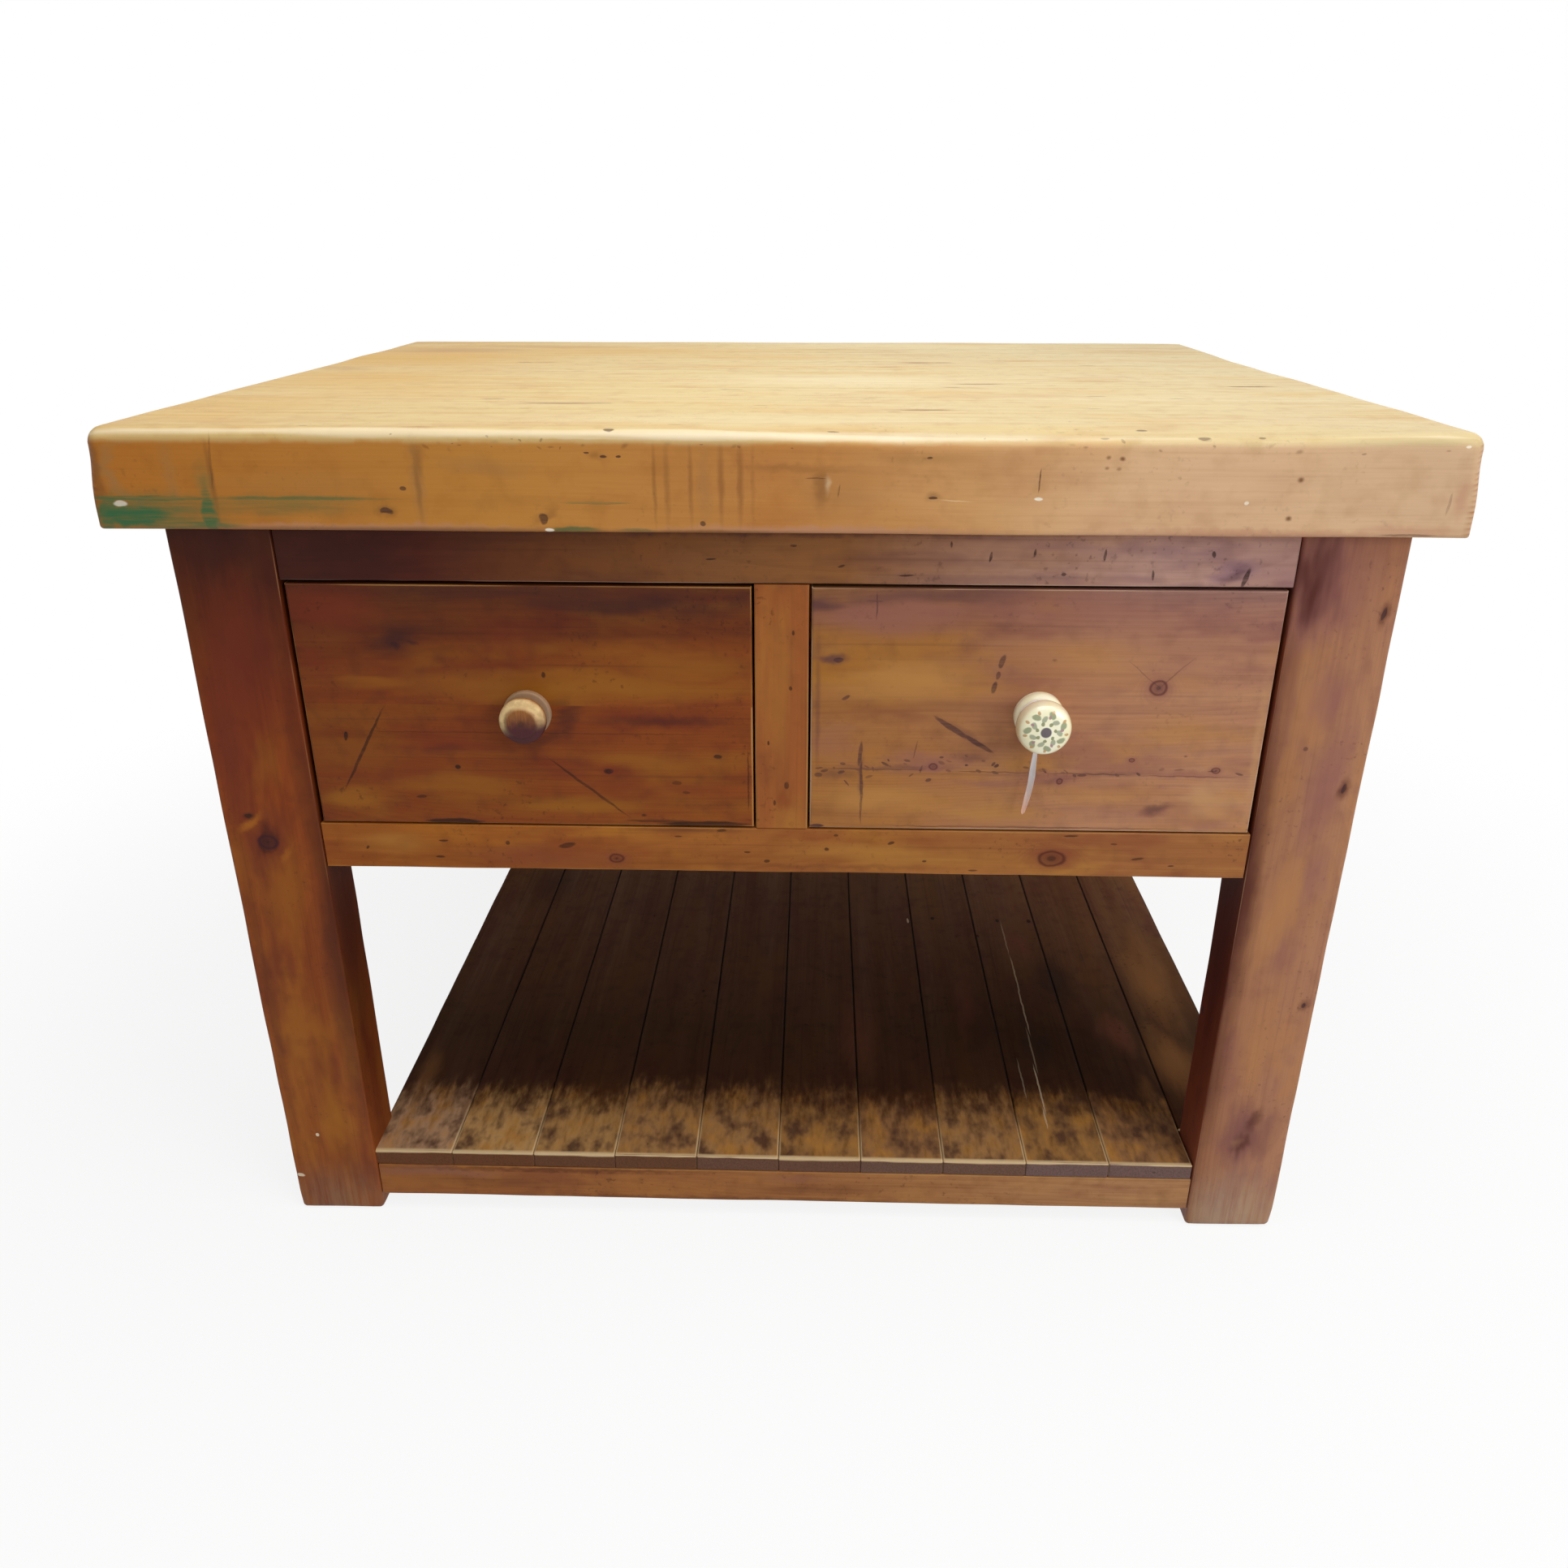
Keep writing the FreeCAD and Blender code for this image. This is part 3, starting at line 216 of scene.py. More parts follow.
@dataclass
class Timber:
    """A sawn timber: a block whose arrises are rounded unevenly and whose faces are worn a little hollow.

    Each point p of the plain block is drawn to c + d |d|max / |d|, where c is p clamped into the block shrunk
    by the arris radius and d is p - c. A side named in square keeps its edges sharp.
    """
    low: Array
    high: Array
    arris: float = 2.5 * MM
    pitch: float = 9 * MM
    square: str = ""
    hollow: float = 0.5 * MM
    seed: int = 1
    foot: float = 0.0

    def __post_init__(self) -> None:
        """Turns the corners to arrays and finds which sides have arrises."""
        self.low, self.high = np.array(self.low, float), np.array(self.high, float)
        self.eased_low = np.array([f"-{a}" not in self.square for a in "xyz"], float)
        self.eased_high = np.array([f"+{a}" not in self.square for a in "xyz"], float)

    def ticks(self, axis: int) -> Array:
        """Grid places along an axis: evenly spaced, closer within an arris of an eased end.

        Args:
            axis: 0, 1 or 2.

        Returns:
            Places in metres.
        """
        low, high = self.low[axis], self.high[axis]
        reach = min(max(1.5 * self.arris, 1.3 * self.foot if axis == 2 else 0), 0.45 * (high - low))
        near = reach * np.array([0, 0.12, 0.24, 0.36, 0.5, 0.7])
        first, last = low + reach * self.eased_low[axis], high - reach * self.eased_high[axis]
        count = max(2, round((last - first) / self.pitch) + 1)
        parts = [np.linspace(first, last, count)]
        if self.eased_low[axis]:
            parts.insert(0, low + near)
        if self.eased_high[axis]:
            parts.append(high - near[::-1])
        return np.concatenate(parts)

    def surface(self) -> tuple[Array, Array]:
        """The plain block's surface: a grid on each of the six sides, merged where they meet.

        Returns:
            Points and faces.
        """
        points, faces, count = [], [], 0
        for axis in range(3):
            second, third = (axis + 1) % 3, (axis + 2) % 3
            for place, outward in ((self.low[axis], False), (self.high[axis], True)):
                grid = np.meshgrid(self.ticks(second), self.ticks(third), indexing="ij")
                rows, columns = grid[0].shape
                side = np.empty((rows * columns, 3))
                side[:, axis], side[:, second], side[:, third] = place, grid[0].ravel(), grid[1].ravel()
                number = np.arange(rows * columns).reshape(rows, columns) + count
                corners = [number[:-1, :-1], number[1:, :-1], number[1:, 1:], number[:-1, 1:]]
                quad = np.stack([c.ravel() for c in corners], axis=1)
                points.append(side)
                faces.append(quad if outward else quad[:, ::-1])
                count += rows * columns
        every = np.concatenate(points)
        _, first, where = np.unique(np.round(every * 1e6).astype(np.int64), axis=0, return_index=True,
                                    return_inverse=True)
        return every[first], where.reshape(-1)[np.concatenate(faces)]

    def radius(self, points: Array) -> Array:
        """The arris radius at each point: the plain one, varied by a third, and wider at a worn foot.

        Args:
            points: points of the plain block.

        Returns:
            A radius in metres for each point.
        """
        plain = self.arris * (1 + 0.33 * swell(points, 0.09, self.seed))
        if self.foot:
            plain = plain + (self.foot - self.arris) * (1 - ease_in(points[:, 2], 0, 0.03))
        return plain

    def worn(self, points: Array) -> Array:
        """How far the surface is worn in at each point, from 0 to the hollow, in metres."""
        return self.hollow * (0.5 + 0.5 * swell(points, 0.16, self.seed + 7))

    def shape(self) -> tuple[Array, Array]:
        """The rounded and worn block.

        Returns:
            Points and faces.
        """
        points, faces = self.surface()
        radius = self.radius(points)[:, None]
        half = 0.49 * (self.high - self.low)
        inset = np.minimum(radius, half)
        centre = np.clip(points, self.low + inset * self.eased_low, self.high - inset * self.eased_high)
        out = points - centre
        length = np.linalg.norm(out, axis=1, keepdims=True)
        largest = np.abs(out).max(axis=1, keepdims=True)
        way = np.divide(out, length, out=np.zeros_like(out), where=length > 1e-9)
        share = np.divide(largest, inset.min(axis=1, keepdims=True))
        return centre + way * largest - way * np.clip(share, 0, 1) * self.worn(points)[:, None], faces


def turned(profile: Array, axis: Point, steps: int = 96) -> tuple[Array, Array]:
    """A solid of revolution about a line along Y: each profile point (out, reach) is carried round a circle.

    Args:
        profile: rows of distance from the axis and towards the viewer, from the base's centre to the face's.
        axis: the point where the line meets the base.
        steps: points round the circle.

    Returns:
        Points and faces, closed at both poles by near-zero circles.
    """
    turn = np.linspace(0, 2 * np.pi, steps, endpoint=False)
    out, reach = profile[:, :1], profile[:, 1:]
    points = np.stack([axis[0] + out * np.cos(turn), np.broadcast_to(axis[1] - reach, (len(profile), steps)),
                       axis[2] + out * np.sin(turn)], axis=-1).reshape(-1, 3)
    number = np.arange(len(profile) * steps).reshape(-1, steps)
    after = np.roll(number, -1, axis=1)
    faces = np.stack([number[:-1], after[:-1], after[1:], number[1:]], axis=-1).reshape(-1, 4)
    return points, faces


def smooth_profile(corners: list[Point], fineness: float = 0.4 * MM) -> Array:
    """A lathe profile with rounded corners: each is a quadratic curve between points a radius away from it.

    Args:
        corners: rows of distance out, reach, and the corner's radius.
        fineness: spacing of the points.

    Returns:
        Rows of distance out and reach.
    """
    places = np.array([c[:2] for c in corners])
    line = [places[:1]]
    for here, corner, there, radius in zip(places, places[1:], places[2:], [c[2] for c in corners[1:-1]]):
        back, on = here - corner, there - corner
        start = corner + back * min(0.5, radius / max(np.linalg.norm(back), 1e-9))
        end = corner + on * min(0.5, radius / max(np.linalg.norm(on), 1e-9))
        t = np.linspace(0, 1, 9)[:, None]
        line.append((1 - t) ** 2 * start + 2 * t * (1 - t) * corner + t ** 2 * end)
    line.append(places[-1:])
    rough = np.concatenate(line)
    step = np.concatenate([[0], np.cumsum(np.linalg.norm(np.diff(rough, axis=0), axis=1))])
    keep = np.concatenate([[True], np.diff(step) > 1e-9])
    even = np.linspace(0, step[-1], max(8, round(step[-1] / fineness)))
    return np.stack([np.interp(even, step[keep], rough[keep, i]) for i in (0, 1)], axis=1)


# ---------------------------------------------------------------- wood


class Grain(Enum):
    """Which way a board's grain runs: the axes along the grain, across the face and through the board."""
    ALONG_X = (0, 1, 2)
    ALONG_X_UPRIGHT = (0, 2, 1)
    ALONG_Y = (1, 0, 2)
    ALONG_Y_UPRIGHT = (1, 2, 0)
    ALONG_Z = (2, 0, 1)


class Side(Enum):
    """The side of a timber that a mark lies on: its two axes, the one through it, and the corner it passes."""
    FRONT = (0, 2, 1, "low")
    TOP = (0, 1, 2, "high")
    LEFT = (1, 2, 0, "low")
    RIGHT = (1, 2, 0, "high")


@dataclass(frozen=True)
class Stroke:
    """How a kind of mark is drawn: its colour in the finish, its soft edge's limits, and if it is cut in."""
    colour: str
    start: float = 0.0
    end: float = 0.9
    sunk: bool = False


class Trace(Enum):
    """The kinds of marks: stains in the wood's colour, and paint, scratches and chalk that lie over it."""
    GOLD = Stroke("gold")
    PLUM = Stroke("plum")
    SHADE = Stroke("shade", end=0.95)
    GLOW = Stroke("glow", end=0.95)
    DUSK = Stroke("dusk")
    WASH = Stroke("daub", end=1.0)
    DAUB = Stroke("daub", 0.05, 0.5)
    SCRATCH = Stroke("grime", 0.05, 0.4, sunk=True)
    CHALK = Stroke("fleck", 0.05, 0.4)


CUTS = (Trace.WASH, Trace.DAUB, Trace.SCRATCH, Trace.CHALK)
STAINS = tuple(trace for trace in Trace if trace not in CUTS)


@dataclass(frozen=True)
class Mark:
    """One mark, an ellipse with a soft edge: its place on the side and its half sizes in millimetres."""
    trace: Trace
    first: float
    second: float
    long: float
    wide: float
    turn: float = 0.0
    amount: float = 1.0
    side: Side = Side.FRONT


def spots(side: Side = Side.FRONT, **rows: Iterable[tuple[float, ...]]) -> tuple[Mark, ...]:
    """Marks on one side of a timber, listed under the names of their traces.

    Args:
        side: the side that they lie on.
        rows: under each trace, a row per mark: its place, half sizes and, where it has them, turn and amount.

    Returns:
        The marks.
    """
    return tuple(replace(Mark(Trace[trace.upper()], *row), side=side)
                 for trace, some in rows.items() for row in some)


@dataclass(frozen=True)
class Knot:
    """A branch knot: its place on the side and its half sizes in millimetres, and how dark it is."""
    first: float
    second: float
    long: float
    wide: float
    amount: float = 1.0
    side: Side = Side.FRONT


@dataclass(frozen=True)
class Tint:
    """Colours that the wood is multiplied by along an axis: stops of a place in millimetres and a colour."""
    axis: int
    stops: tuple[tuple[float, str], ...]


@dataclass(frozen=True)
class Pine:
    """Slow-grown softwood under wax or bare: pale early wood, darker late-wood lines a few millimetres apart.

    Waxed for years it takes a deep orange-brown, redder and more golden in turns, that rubs off at the
    arrises, and dents hold dark dirt. Lengths are in metres, cells and streaks in features per metre.
    """
    name: str
    early: str
    late: str
    shade: str
    glow: str
    gold: str
    plum: str
    dusk: str
    worn: str
    grime: str = "#2A1409"
    knot: str = "#3A1620"
    fleck: str = "#E4D2B4"
    daub: str = "#34623A"
    bright: str = "#B8803C"
    smoke: str = "#553A2C"
    sawn: str = "#C89E76"
    ring: float = 3.2 * MM
    line: float = 0.4
    streaks: float = 0.4
    streak_scale: Point = (1.8, 45.0, 45.0)
    clouds: float = 0.7
    hair: float = 0.25
    wear: float = 2.2 * MM
    wear_amount: float = 0.8
    dents: float = 0.12
    dent_cells: Point = (22.0, 38.0, 38.0)
    specks: float = 0.45
    rough: float = 0.46
    gloss: float = 0.15
    seam: float = 0.0
    edge: "Pine | None" = None


@dataclass(frozen=True)
class Cut:
    """How one board was cut from its log, and what has marked it since."""
    grain: Grain
    low: Point
    high: Point
    seed: int
    marks: tuple[Mark, ...] = ()
    knots: tuple[Knot, ...] = ()
    pith: tuple[float, float] = (0.03, -0.09)
    plain_axes: str = ""
    tints: tuple[Tint, ...] = ()
    edge_tints: tuple[Tint, ...] = ()
    joint: float | None = None
    # rubbed: how deep the bright front strip reaches, partly rubbed wood and partly painted light.
    rubbed: float = 0.0
    end: str = "#5A3A28"


class PineCoat:
    """Builds a board's material from its finish and its cut.

    A mark is drawn in tight places when it is small, in looser ones from 4.5 mm and, if it is a stain, in
    cloudy ones from 11 mm, so that its outline wanders with its size.
    """
    tight_shake, loose_shake = 2.5 * MM, 10 * MM
    cloud_along, cloud_across = 140 * MM, 40 * MM
    loose_from, cloudy_from = 4.5, 11
    next_board = (0.31, 0.17, 0.07)
    pith_drift = 0.11
    upright_arris = 20.0
    no_knot = 9.0
    edge_level = (893 * MM, 885 * MM)
    end_level = (9 * MM, 3 * MM)

    def __init__(self, finish: Pine, cut: Cut, name: str) -> None:
        """Starts the material: plain places, places along the grain, and both slightly shaken.

        Args:
            finish: the wood's finish.
            cut: the board's cut.
            name: the piece's name.
        """
        self.finish, self.cut = finish, cut
        self.g = g = Graph(bpy.data.materials.new(f"{finish.name}_{name}"))
        self.place = g.add("TexCoord", out="Object")
        self.parts = g.add("SeparateXYZ", self.place).node.outputs
        self.grain = g.add("CombineXYZ", *[self.parts[i] for i in cut.grain.value])
        if cut.joint is not None:
            below = g.add("Math.LESS_THAN", self.parts[2], cut.joint * MM)
            self.grain = g.add("VectorMath.MULTIPLY_ADD", below, self.next_board, self.grain)
        shake = g.add("TexNoise", self.place, named={"Scale": 80.0, "Detail": 2.0}, out="Color")
        centred = g.add("VectorMath.SUBTRACT", shake, (0.5, 0.5, 0.5))
        self.loose = g.add("VectorMath.MULTIPLY_ADD", centred, (self.loose_shake,) * 3, self.place)
        self.tight = g.add("VectorMath.MULTIPLY_ADD", centred, (self.tight_shake,) * 3, self.place)
        drift = g.add("VectorMath.SUBTRACT", self.along((7.0, 26.0, 26.0), 3.0, 6.7, "Color"),
                      (0.5, 0.5, 0.5))
        reach = [self.cloud_across] * 3
        reach[cut.grain.value[0]] = self.cloud_along
        self.cloudy = g.add("VectorMath.MULTIPLY_ADD", drift, tuple(reach), self.place)

    def on_side(self, mark: Mark | Knot, coordinates: Socket) -> Socket:
        """Coordinates in which a mark is the unit ball: centred, turned and divided by its half sizes.

        Args:
            mark: the mark.
            coordinates: the coordinates to change.

        Returns:
            The mark's own coordinates.
        """
        first, second, through, corner = mark.side.value
        place, size, turn = [0.0] * 3, [0.03] * 3, [0.0] * 3
        place[first], place[second] = mark.first * MM, mark.second * MM
        place[through] = getattr(self.cut, corner)[through]
        size[first], size[second] = mark.long * MM, mark.wide * MM
        sense = -1 if mark.side is Side.FRONT else 1
        turn[through] = sense * math.radians(getattr(mark, "turn", 0.0))
        return self.g.add("Mapping.TEXTURE", coordinates, tuple(place), tuple(turn), tuple(size))

    def marked(self, trace: Trace, marks: list[Mark]) -> Socket | None:
        """The mask of all marks of one kind: the largest of 1 minus the distance in their own coordinates.

        Args:
            trace: the kind of mark.
            marks: the marks to choose from.

        Returns:
            A mask from 0 to 1, or None where the board has none of them.
        """
        mask = None
        stroke = trace.value
        for mark in marks:
            if mark.trace is not trace:
                continue
            narrow = min(mark.long, mark.wide)
            source = self.loose if narrow > self.loose_from else self.tight
            if narrow > self.cloudy_from and trace in STAINS:
                source = self.cloudy
            ball = self.g.add("TexGradient.SPHERICAL", self.on_side(mark, source), out="Fac")
            one = self.g.add("MapRange.SMOOTHSTEP", ball, stroke.start, stroke.end, 0.0, mark.amount)
            mask = one if mask is None else self.g.add("Math.MAXIMUM", mask, one)
        return mask

    def knot_distance(self) -> Source:
        """Distance from the nearest knot as a share of its size, 1 at its rim and more for a faint knot.

        Returns:
            The distance, or a plain number where the board has no knot.
        """
        nearest = self.no_knot
        for knot in self.cut.knots:
            own = self.g.add("VectorMath.LENGTH", self.on_side(knot, self.tight), out="Value")
            own = self.g.add("Math.ADD", own, 1.3 * (1 - knot.amount))
            nearest = self.g.add("Math.MINIMUM", nearest, own)
        return nearest

    def along(self, scale: Point, detail: float, shift: float, out: str = "Fac") -> Socket:
        """Noise stretched along the grain.

        Args:
            scale: features per metre along, across and through.
            detail: octaves.
            shift: moves the noise to another part of the log.
            out: the output to return.

        Returns:
            The noise, about 0.5 in the middle.
        """
        placed = self.g.add("VectorMath.MULTIPLY_ADD", self.grain, scale,
                            (shift, self.cut.seed * 1.7, shift * 2.3))
        named = {"Scale": 1.0, "Detail": detail, "Roughness": 0.6}
        return self.g.add("TexNoise", placed, named=named, out=out)

    def rings(self, knots: Source) -> Socket:
        """Late-wood lines: the fraction of the distance from a wandering pith over the ring width.

        The lines bend round knots, rise slowly to the late wood and fall fast, each ring of its own strength.

        Args:
            knots: the distance from the nearest knot.

        Returns:
            A mask, 1 in late wood.
        """
        g, cut = self.g, self.cut
        wander = self.along((1.3, 1.5, 1.5), 1.0, 3.1, "Color")
        log = g.add("VectorMath.MULTIPLY_ADD", wander, (0.0, self.pith_drift, self.pith_drift), self.grain)
        middle = [0.5 * (a + b) for a, b in zip(cut.low, cut.high)]
        _, across, through = cut.grain.value
        drift = 0.5 * self.pith_drift
        pith = (0.0, middle[across] + cut.pith[0] + drift, middle[through] + cut.pith[1] + drift)
        flat = g.add("VectorMath.MULTIPLY", g.add("VectorMath.SUBTRACT", log, pith), (0.0, 1.0, 1.0))
        reach = g.add("VectorMath.LENGTH", flat, out="Value")
        bend = g.add("MapRange.SMOOTHERSTEP", knots, 0.6, 3.2, 3.6, 0.0)
        phase = g.add("Math.MULTIPLY_ADD", reach, 1 / self.finish.ring, bend)
        part = g.add("Math.FRACT", phase)
        rise = g.add("MapRange.SMOOTHSTEP", part, 0.25, 0.88)
        fall = g.add("MapRange", part, 0.9, 1.0, 1.0, 0.0)
        number = g.add("Math.FLOOR", phase)
        own = g.add("TexWhiteNoise.1D", named={"W": number})
        strength = g.add("MapRange", own, 0.0, 1.0, 0.25, 1.0)
        line = g.add("Math.MULTIPLY", rise, fall)
        return g.add("Math.MULTIPLY", line, strength)

    def arris_wear(self, unevenness: Socket) -> Socket:
        """Where arrises are rubbed: the second smallest distance to the board's sides over the wear's width.

        On a finish with an edge of its own, upright arrises count as far off and stay plain.

        Args:
            unevenness: noise that varies the width.

        Returns:
            A mask, 1 on a rubbed arris.
        """
        g, cut, finish = self.g, self.cut, self.finish
        middle = tuple(0.5 * (a + b) for a, b in zip(cut.low, cut.high))
        half = tuple(0.5 * (b - a) for a, b in zip(cut.low, cut.high))
        offset = g.add("VectorMath.SUBTRACT", self.place, middle)
        inward = g.add("VectorMath.SUBTRACT", half, g.add("VectorMath.ABSOLUTE", offset))
        self.from_seam = g.add("SeparateXYZ", inward)
        plain = tuple(1.0 if axis in cut.plain_axes else 0.0 for axis in "xyz")
        x, y, z = g.add("SeparateXYZ", g.add("VectorMath.ADD", inward, plain)).node.outputs
        lesser = g.add("Math.MINIMUM", x, y)
        across = g.add("Math.MAXIMUM", x, y)
        if finish.edge:
            across = g.add("Math.MULTIPLY", across, self.upright_arris)
        greater = g.add("Math.MINIMUM", across, z)
        second = g.add("Math.MAXIMUM", lesser, greater)
        width = g.add("MapRange", unevenness, 0.35, 0.7, 0.5 * finish.wear, 1.6 * finish.wear)
        near = g.add("Math.DIVIDE", second, width)
        return g.add("MapRange.SMOOTHSTEP", near, 0.5, 1.2, finish.wear_amount, 0.0)

    def random_dents(self) -> Socket:
        """Small knocks: the middles of a few cells of a cell pattern that is stretched on the grain.

        Returns:
            A mask, up to 0.8 in a knock.
        """
        g = self.g
        placed = g.add("VectorMath.MULTIPLY_ADD", self.grain, self.finish.dent_cells,
                       (self.cut.seed * 3.1,) * 3)
        cell = g.add("TexVoronoi", placed, named={"Scale": 1.0})
        drawn = g.add("SeparateXYZ", cell.node.outputs["Color"])
        size = g.add("MapRange", drawn, 1 - self.finish.dents, 1.0, 0.0, 0.15)
        inside = g.add("Math.SUBTRACT", size, cell)
        return g.add("MapRange.SMOOTHSTEP", inside, 0.0, 0.06, 0.0, 0.8)

    def laid(self, finish: Pine, strength: float = 1.0) -> Socket:
        """Lays late wood, streaks, fibres, clouds and fine dark lines over the early wood.

        Args:
            finish: the finish whose colours they take.
            strength: how strong they are.

        Returns:
            The colour.
        """
        colour = paint(finish.early)
        for mask, field in self.layers:
            if strength < 1:
                mask = self.g.add("Math.MULTIPLY", mask, strength)
            colour = self.g.add("MixRGB", mask, colour, getattr(finish, field))
        return colour

    def tinted(self, colour: Source, tints: tuple[Tint, ...]) -> Source:
        """Multiplies a colour by tints, each mixed from stop to stop along its axis.

        Args:
            colour: the colour so far.
            tints: the tints, in order.

        Returns:
            The colour.
        """
        for tint in tints:
            places, codes = zip(*tint.stops)
            tone = paint(codes[0])
            for start, end, code in zip(places, places[1:], codes[1:]):
                share = self.g.add("MapRange", self.parts[tint.axis], start * MM, end * MM)
                tone = self.g.add("MixRGB", share, tone, code)
            colour = self.g.add("MixRGB.MULTIPLY", 1.0, colour, tone)
        return colour

    def stained(self, colour: Source, finish: Pine, marks: list[Mark]) -> Source:
        """Lays the soft stains among the marks over a colour, in the finish's colours.

        Args:
            colour: the colour so far.
            finish: the finish whose colours they take.
            marks: the marks to choose from.

        Returns:
            The colour.
        """
        for trace in STAINS:
            mask = self.marked(trace, marks)
            if mask is not None:
                colour = self.g.add("MixRGB", mask, colour, getattr(finish, trace.value.colour))
        return colour

    def knotted(self, colour: Source, knots: Source) -> Source:
        """Draws the knots: a reddish halo, a dark eye with a ripple of rings, a thin rim and a split heart.

        Args:
            colour: the colour so far.
            knots: the distance from the nearest knot.

        Returns:
            The colour.
        """
        g, f = self.g, self.finish
        halo = g.add("MapRange.SMOOTHSTEP", knots, 2.5, 0.8, 0.0, 0.55)
        eye = g.add("MapRange.SMOOTHSTEP", knots, 1.35, 0.45, 0.0, 0.42)
        ripple = g.add("Math.SINE", g.add("Math.MULTIPLY", knots, 21.0))
        band = g.add("Math.MULTIPLY", ripple, g.add("MapRange", knots, 1.7, 0.3, 0.0, 0.25))
        from_rim = g.add("Math.ABSOLUTE", g.add("Math.SUBTRACT", knots, 0.9))
        rim = g.add("MapRange.SMOOTHSTEP", from_rim, 0.26, 0.0, 0.0, 0.75)
        heart = g.add("MapRange.SMOOTHSTEP", knots, 0.5, 0.15, 0.0, 0.6)
        for mask, code in ((halo, f.plum), (eye, f.knot), (band, f.late), (rim, f.knot), (heart, f.grime)):
            colour = g.add("MixRGB", mask, colour, code)
        return colour

    def build(self) -> Graph:
        """Lays the wood's colours over each other and joins them to the shader.

        Returns:
            The finished graph.
        """
        g, f, cut = self.g, self.finish, self.cut
        knots = self.knot_distance()
        rings = self.rings(knots)
        fibre = self.along((14.0, 620.0, 620.0), 2.0, 0.7)
        streak = self.along(f.streak_scale, 4.0, 5.3)
        cloud = self.along((3.0, 7.0, 7.0), 3.0, 9.1)
        golden = self.along((5.0, 15.0, 15.0), 3.0, 12.9)
        reddish = self.along((7.0, 21.0, 21.0), 3.0, 17.3)
        mottle = g.add("TexNoise", self.place, named={"Scale": 48.0, "Detail": 3.0})
        hair = self.along((2.4, 230.0, 230.0), 1.5, 21.1)
        self.layers = (
            (g.add("Math.MULTIPLY", rings, f.line), "late"),
            (g.add("MapRange.SMOOTHSTEP", streak, 0.48, 0.75, 0.0, f.streaks), "shade"),
            (g.add("MapRange.SMOOTHSTEP", streak, 0.5, 0.25, 0.0, f.streaks), "glow"),
            (g.add("MapRange", fibre, 0.45, 0.8, 0.0, 0.35), "late"),
            (g.add("MapRange.SMOOTHSTEP", golden, 0.47, 0.68, 0.0, f.clouds), "gold"),
            (g.add("MapRange.SMOOTHSTEP", reddish, 0.49, 0.7, 0.0, f.clouds), "plum"),
            (g.add("MapRange", mottle, 0.5, 0.75, 0.0, 0.3), "shade"),
            (g.add("MapRange", hair, 0.6, 0.72, 0.0, f.hair), "shade"))
        upper = [m for m in cut.marks if not (f.edge and m.side is Side.FRONT)]
        colour = self.stained(self.tinted(self.laid(f), cut.tints), f, upper)
        if f.edge:
            front = [m for m in cut.marks if m.side is Side.FRONT]
            lower = self.stained(self.tinted(self.laid(f.edge, 0.7), cut.edge_tints), f.edge, front)
            level = g.add("Math.MULTIPLY_ADD", g.add("Math.SUBTRACT", mottle, 0.5), 6 * MM, self.parts[2])
            below = g.add("MapRange.SMOOTHSTEP", level, *self.edge_level)
            colour = self.end_grain(g.add("MixRGB", below, colour, lower), rings)
        if cut.knots:
            colour = self.knotted(colour, knots)
        wear = self.arris_wear(cloud)
        if cut.rubbed:
            upper = g.add("MapRange", self.parts[2], cut.low[2] + 8 * MM, cut.low[2] + 14 * MM)
            wear = g.add("Math.MULTIPLY", wear, upper)
        knocks = self.random_dents()
        grit = g.add("TexNoise", self.place, named={"Scale": 190.0, "Detail": 3.0})
        patch = g.add("TexNoise", self.place, named={"Scale": 13.0})
        patch = g.add("MapRange", patch, 0.45, 0.65, 0.0, f.specks)
        specks = g.add("Math.MULTIPLY", g.add("MapRange", grit, 0.6, 0.72), patch)
        colour = g.add("MixRGB", specks, colour, f.grime)
        if f.seam:
            seam = g.add("MapRange", self.from_seam, 0.9 * f.seam, 1.8 * f.seam, 0.8, 0.0)
            colour = g.add("MixRGB", seam, colour, f.grime)
        if cut.rubbed:
            colour = self.rubbed_and_lit_front(colour, cloud, fibre)
        colour = g.add("MixRGB", wear, colour, f.worn)
        colour = g.add("MixRGB", knocks, colour, f.grime)
        sunk = knocks
        brush = self.along((14.0, 240.0, 240.0), 3.0, 8.8)
        for trace in CUTS:
            mask = self.marked(trace, list(cut.marks))
            if mask is None:
                continue
            stroke = trace.value
            thin = g.add("MapRange", brush, 0.34, 0.56, 0.4 if stroke.colour == "daub" else 0.7, 1.0)
            colour = g.add("MixRGB", g.add("Math.MULTIPLY", mask, thin), colour, getattr(f, stroke.colour))
            if stroke.sunk:
                sunk = g.add("Math.MAXIMUM", sunk, mask)

        grain_height = g.add("Math.ADD", fibre, rings)
        height = g.add("Math.MULTIPLY_ADD", grain_height, 0.12, g.add("Math.MULTIPLY", sunk, -0.9))
        bump = g.add("Bump", named={"Strength": 0.7, "Distance": 0.4 * MM, "Height": height})
        rough = g.add("MapRange", streak, 0.3, 0.7, f.rough - 0.06, f.rough + 0.08)
        rough = g.add("Math.MULTIPLY_ADD", wear, 0.12, rough)
        shader = g.add("BsdfPrincipled", named={"Base Color": colour, "Roughness": rough, "Normal": bump,
                                                "Specular IOR Level": f.gloss})
        g.add("OutputMaterial", shader)
        return g

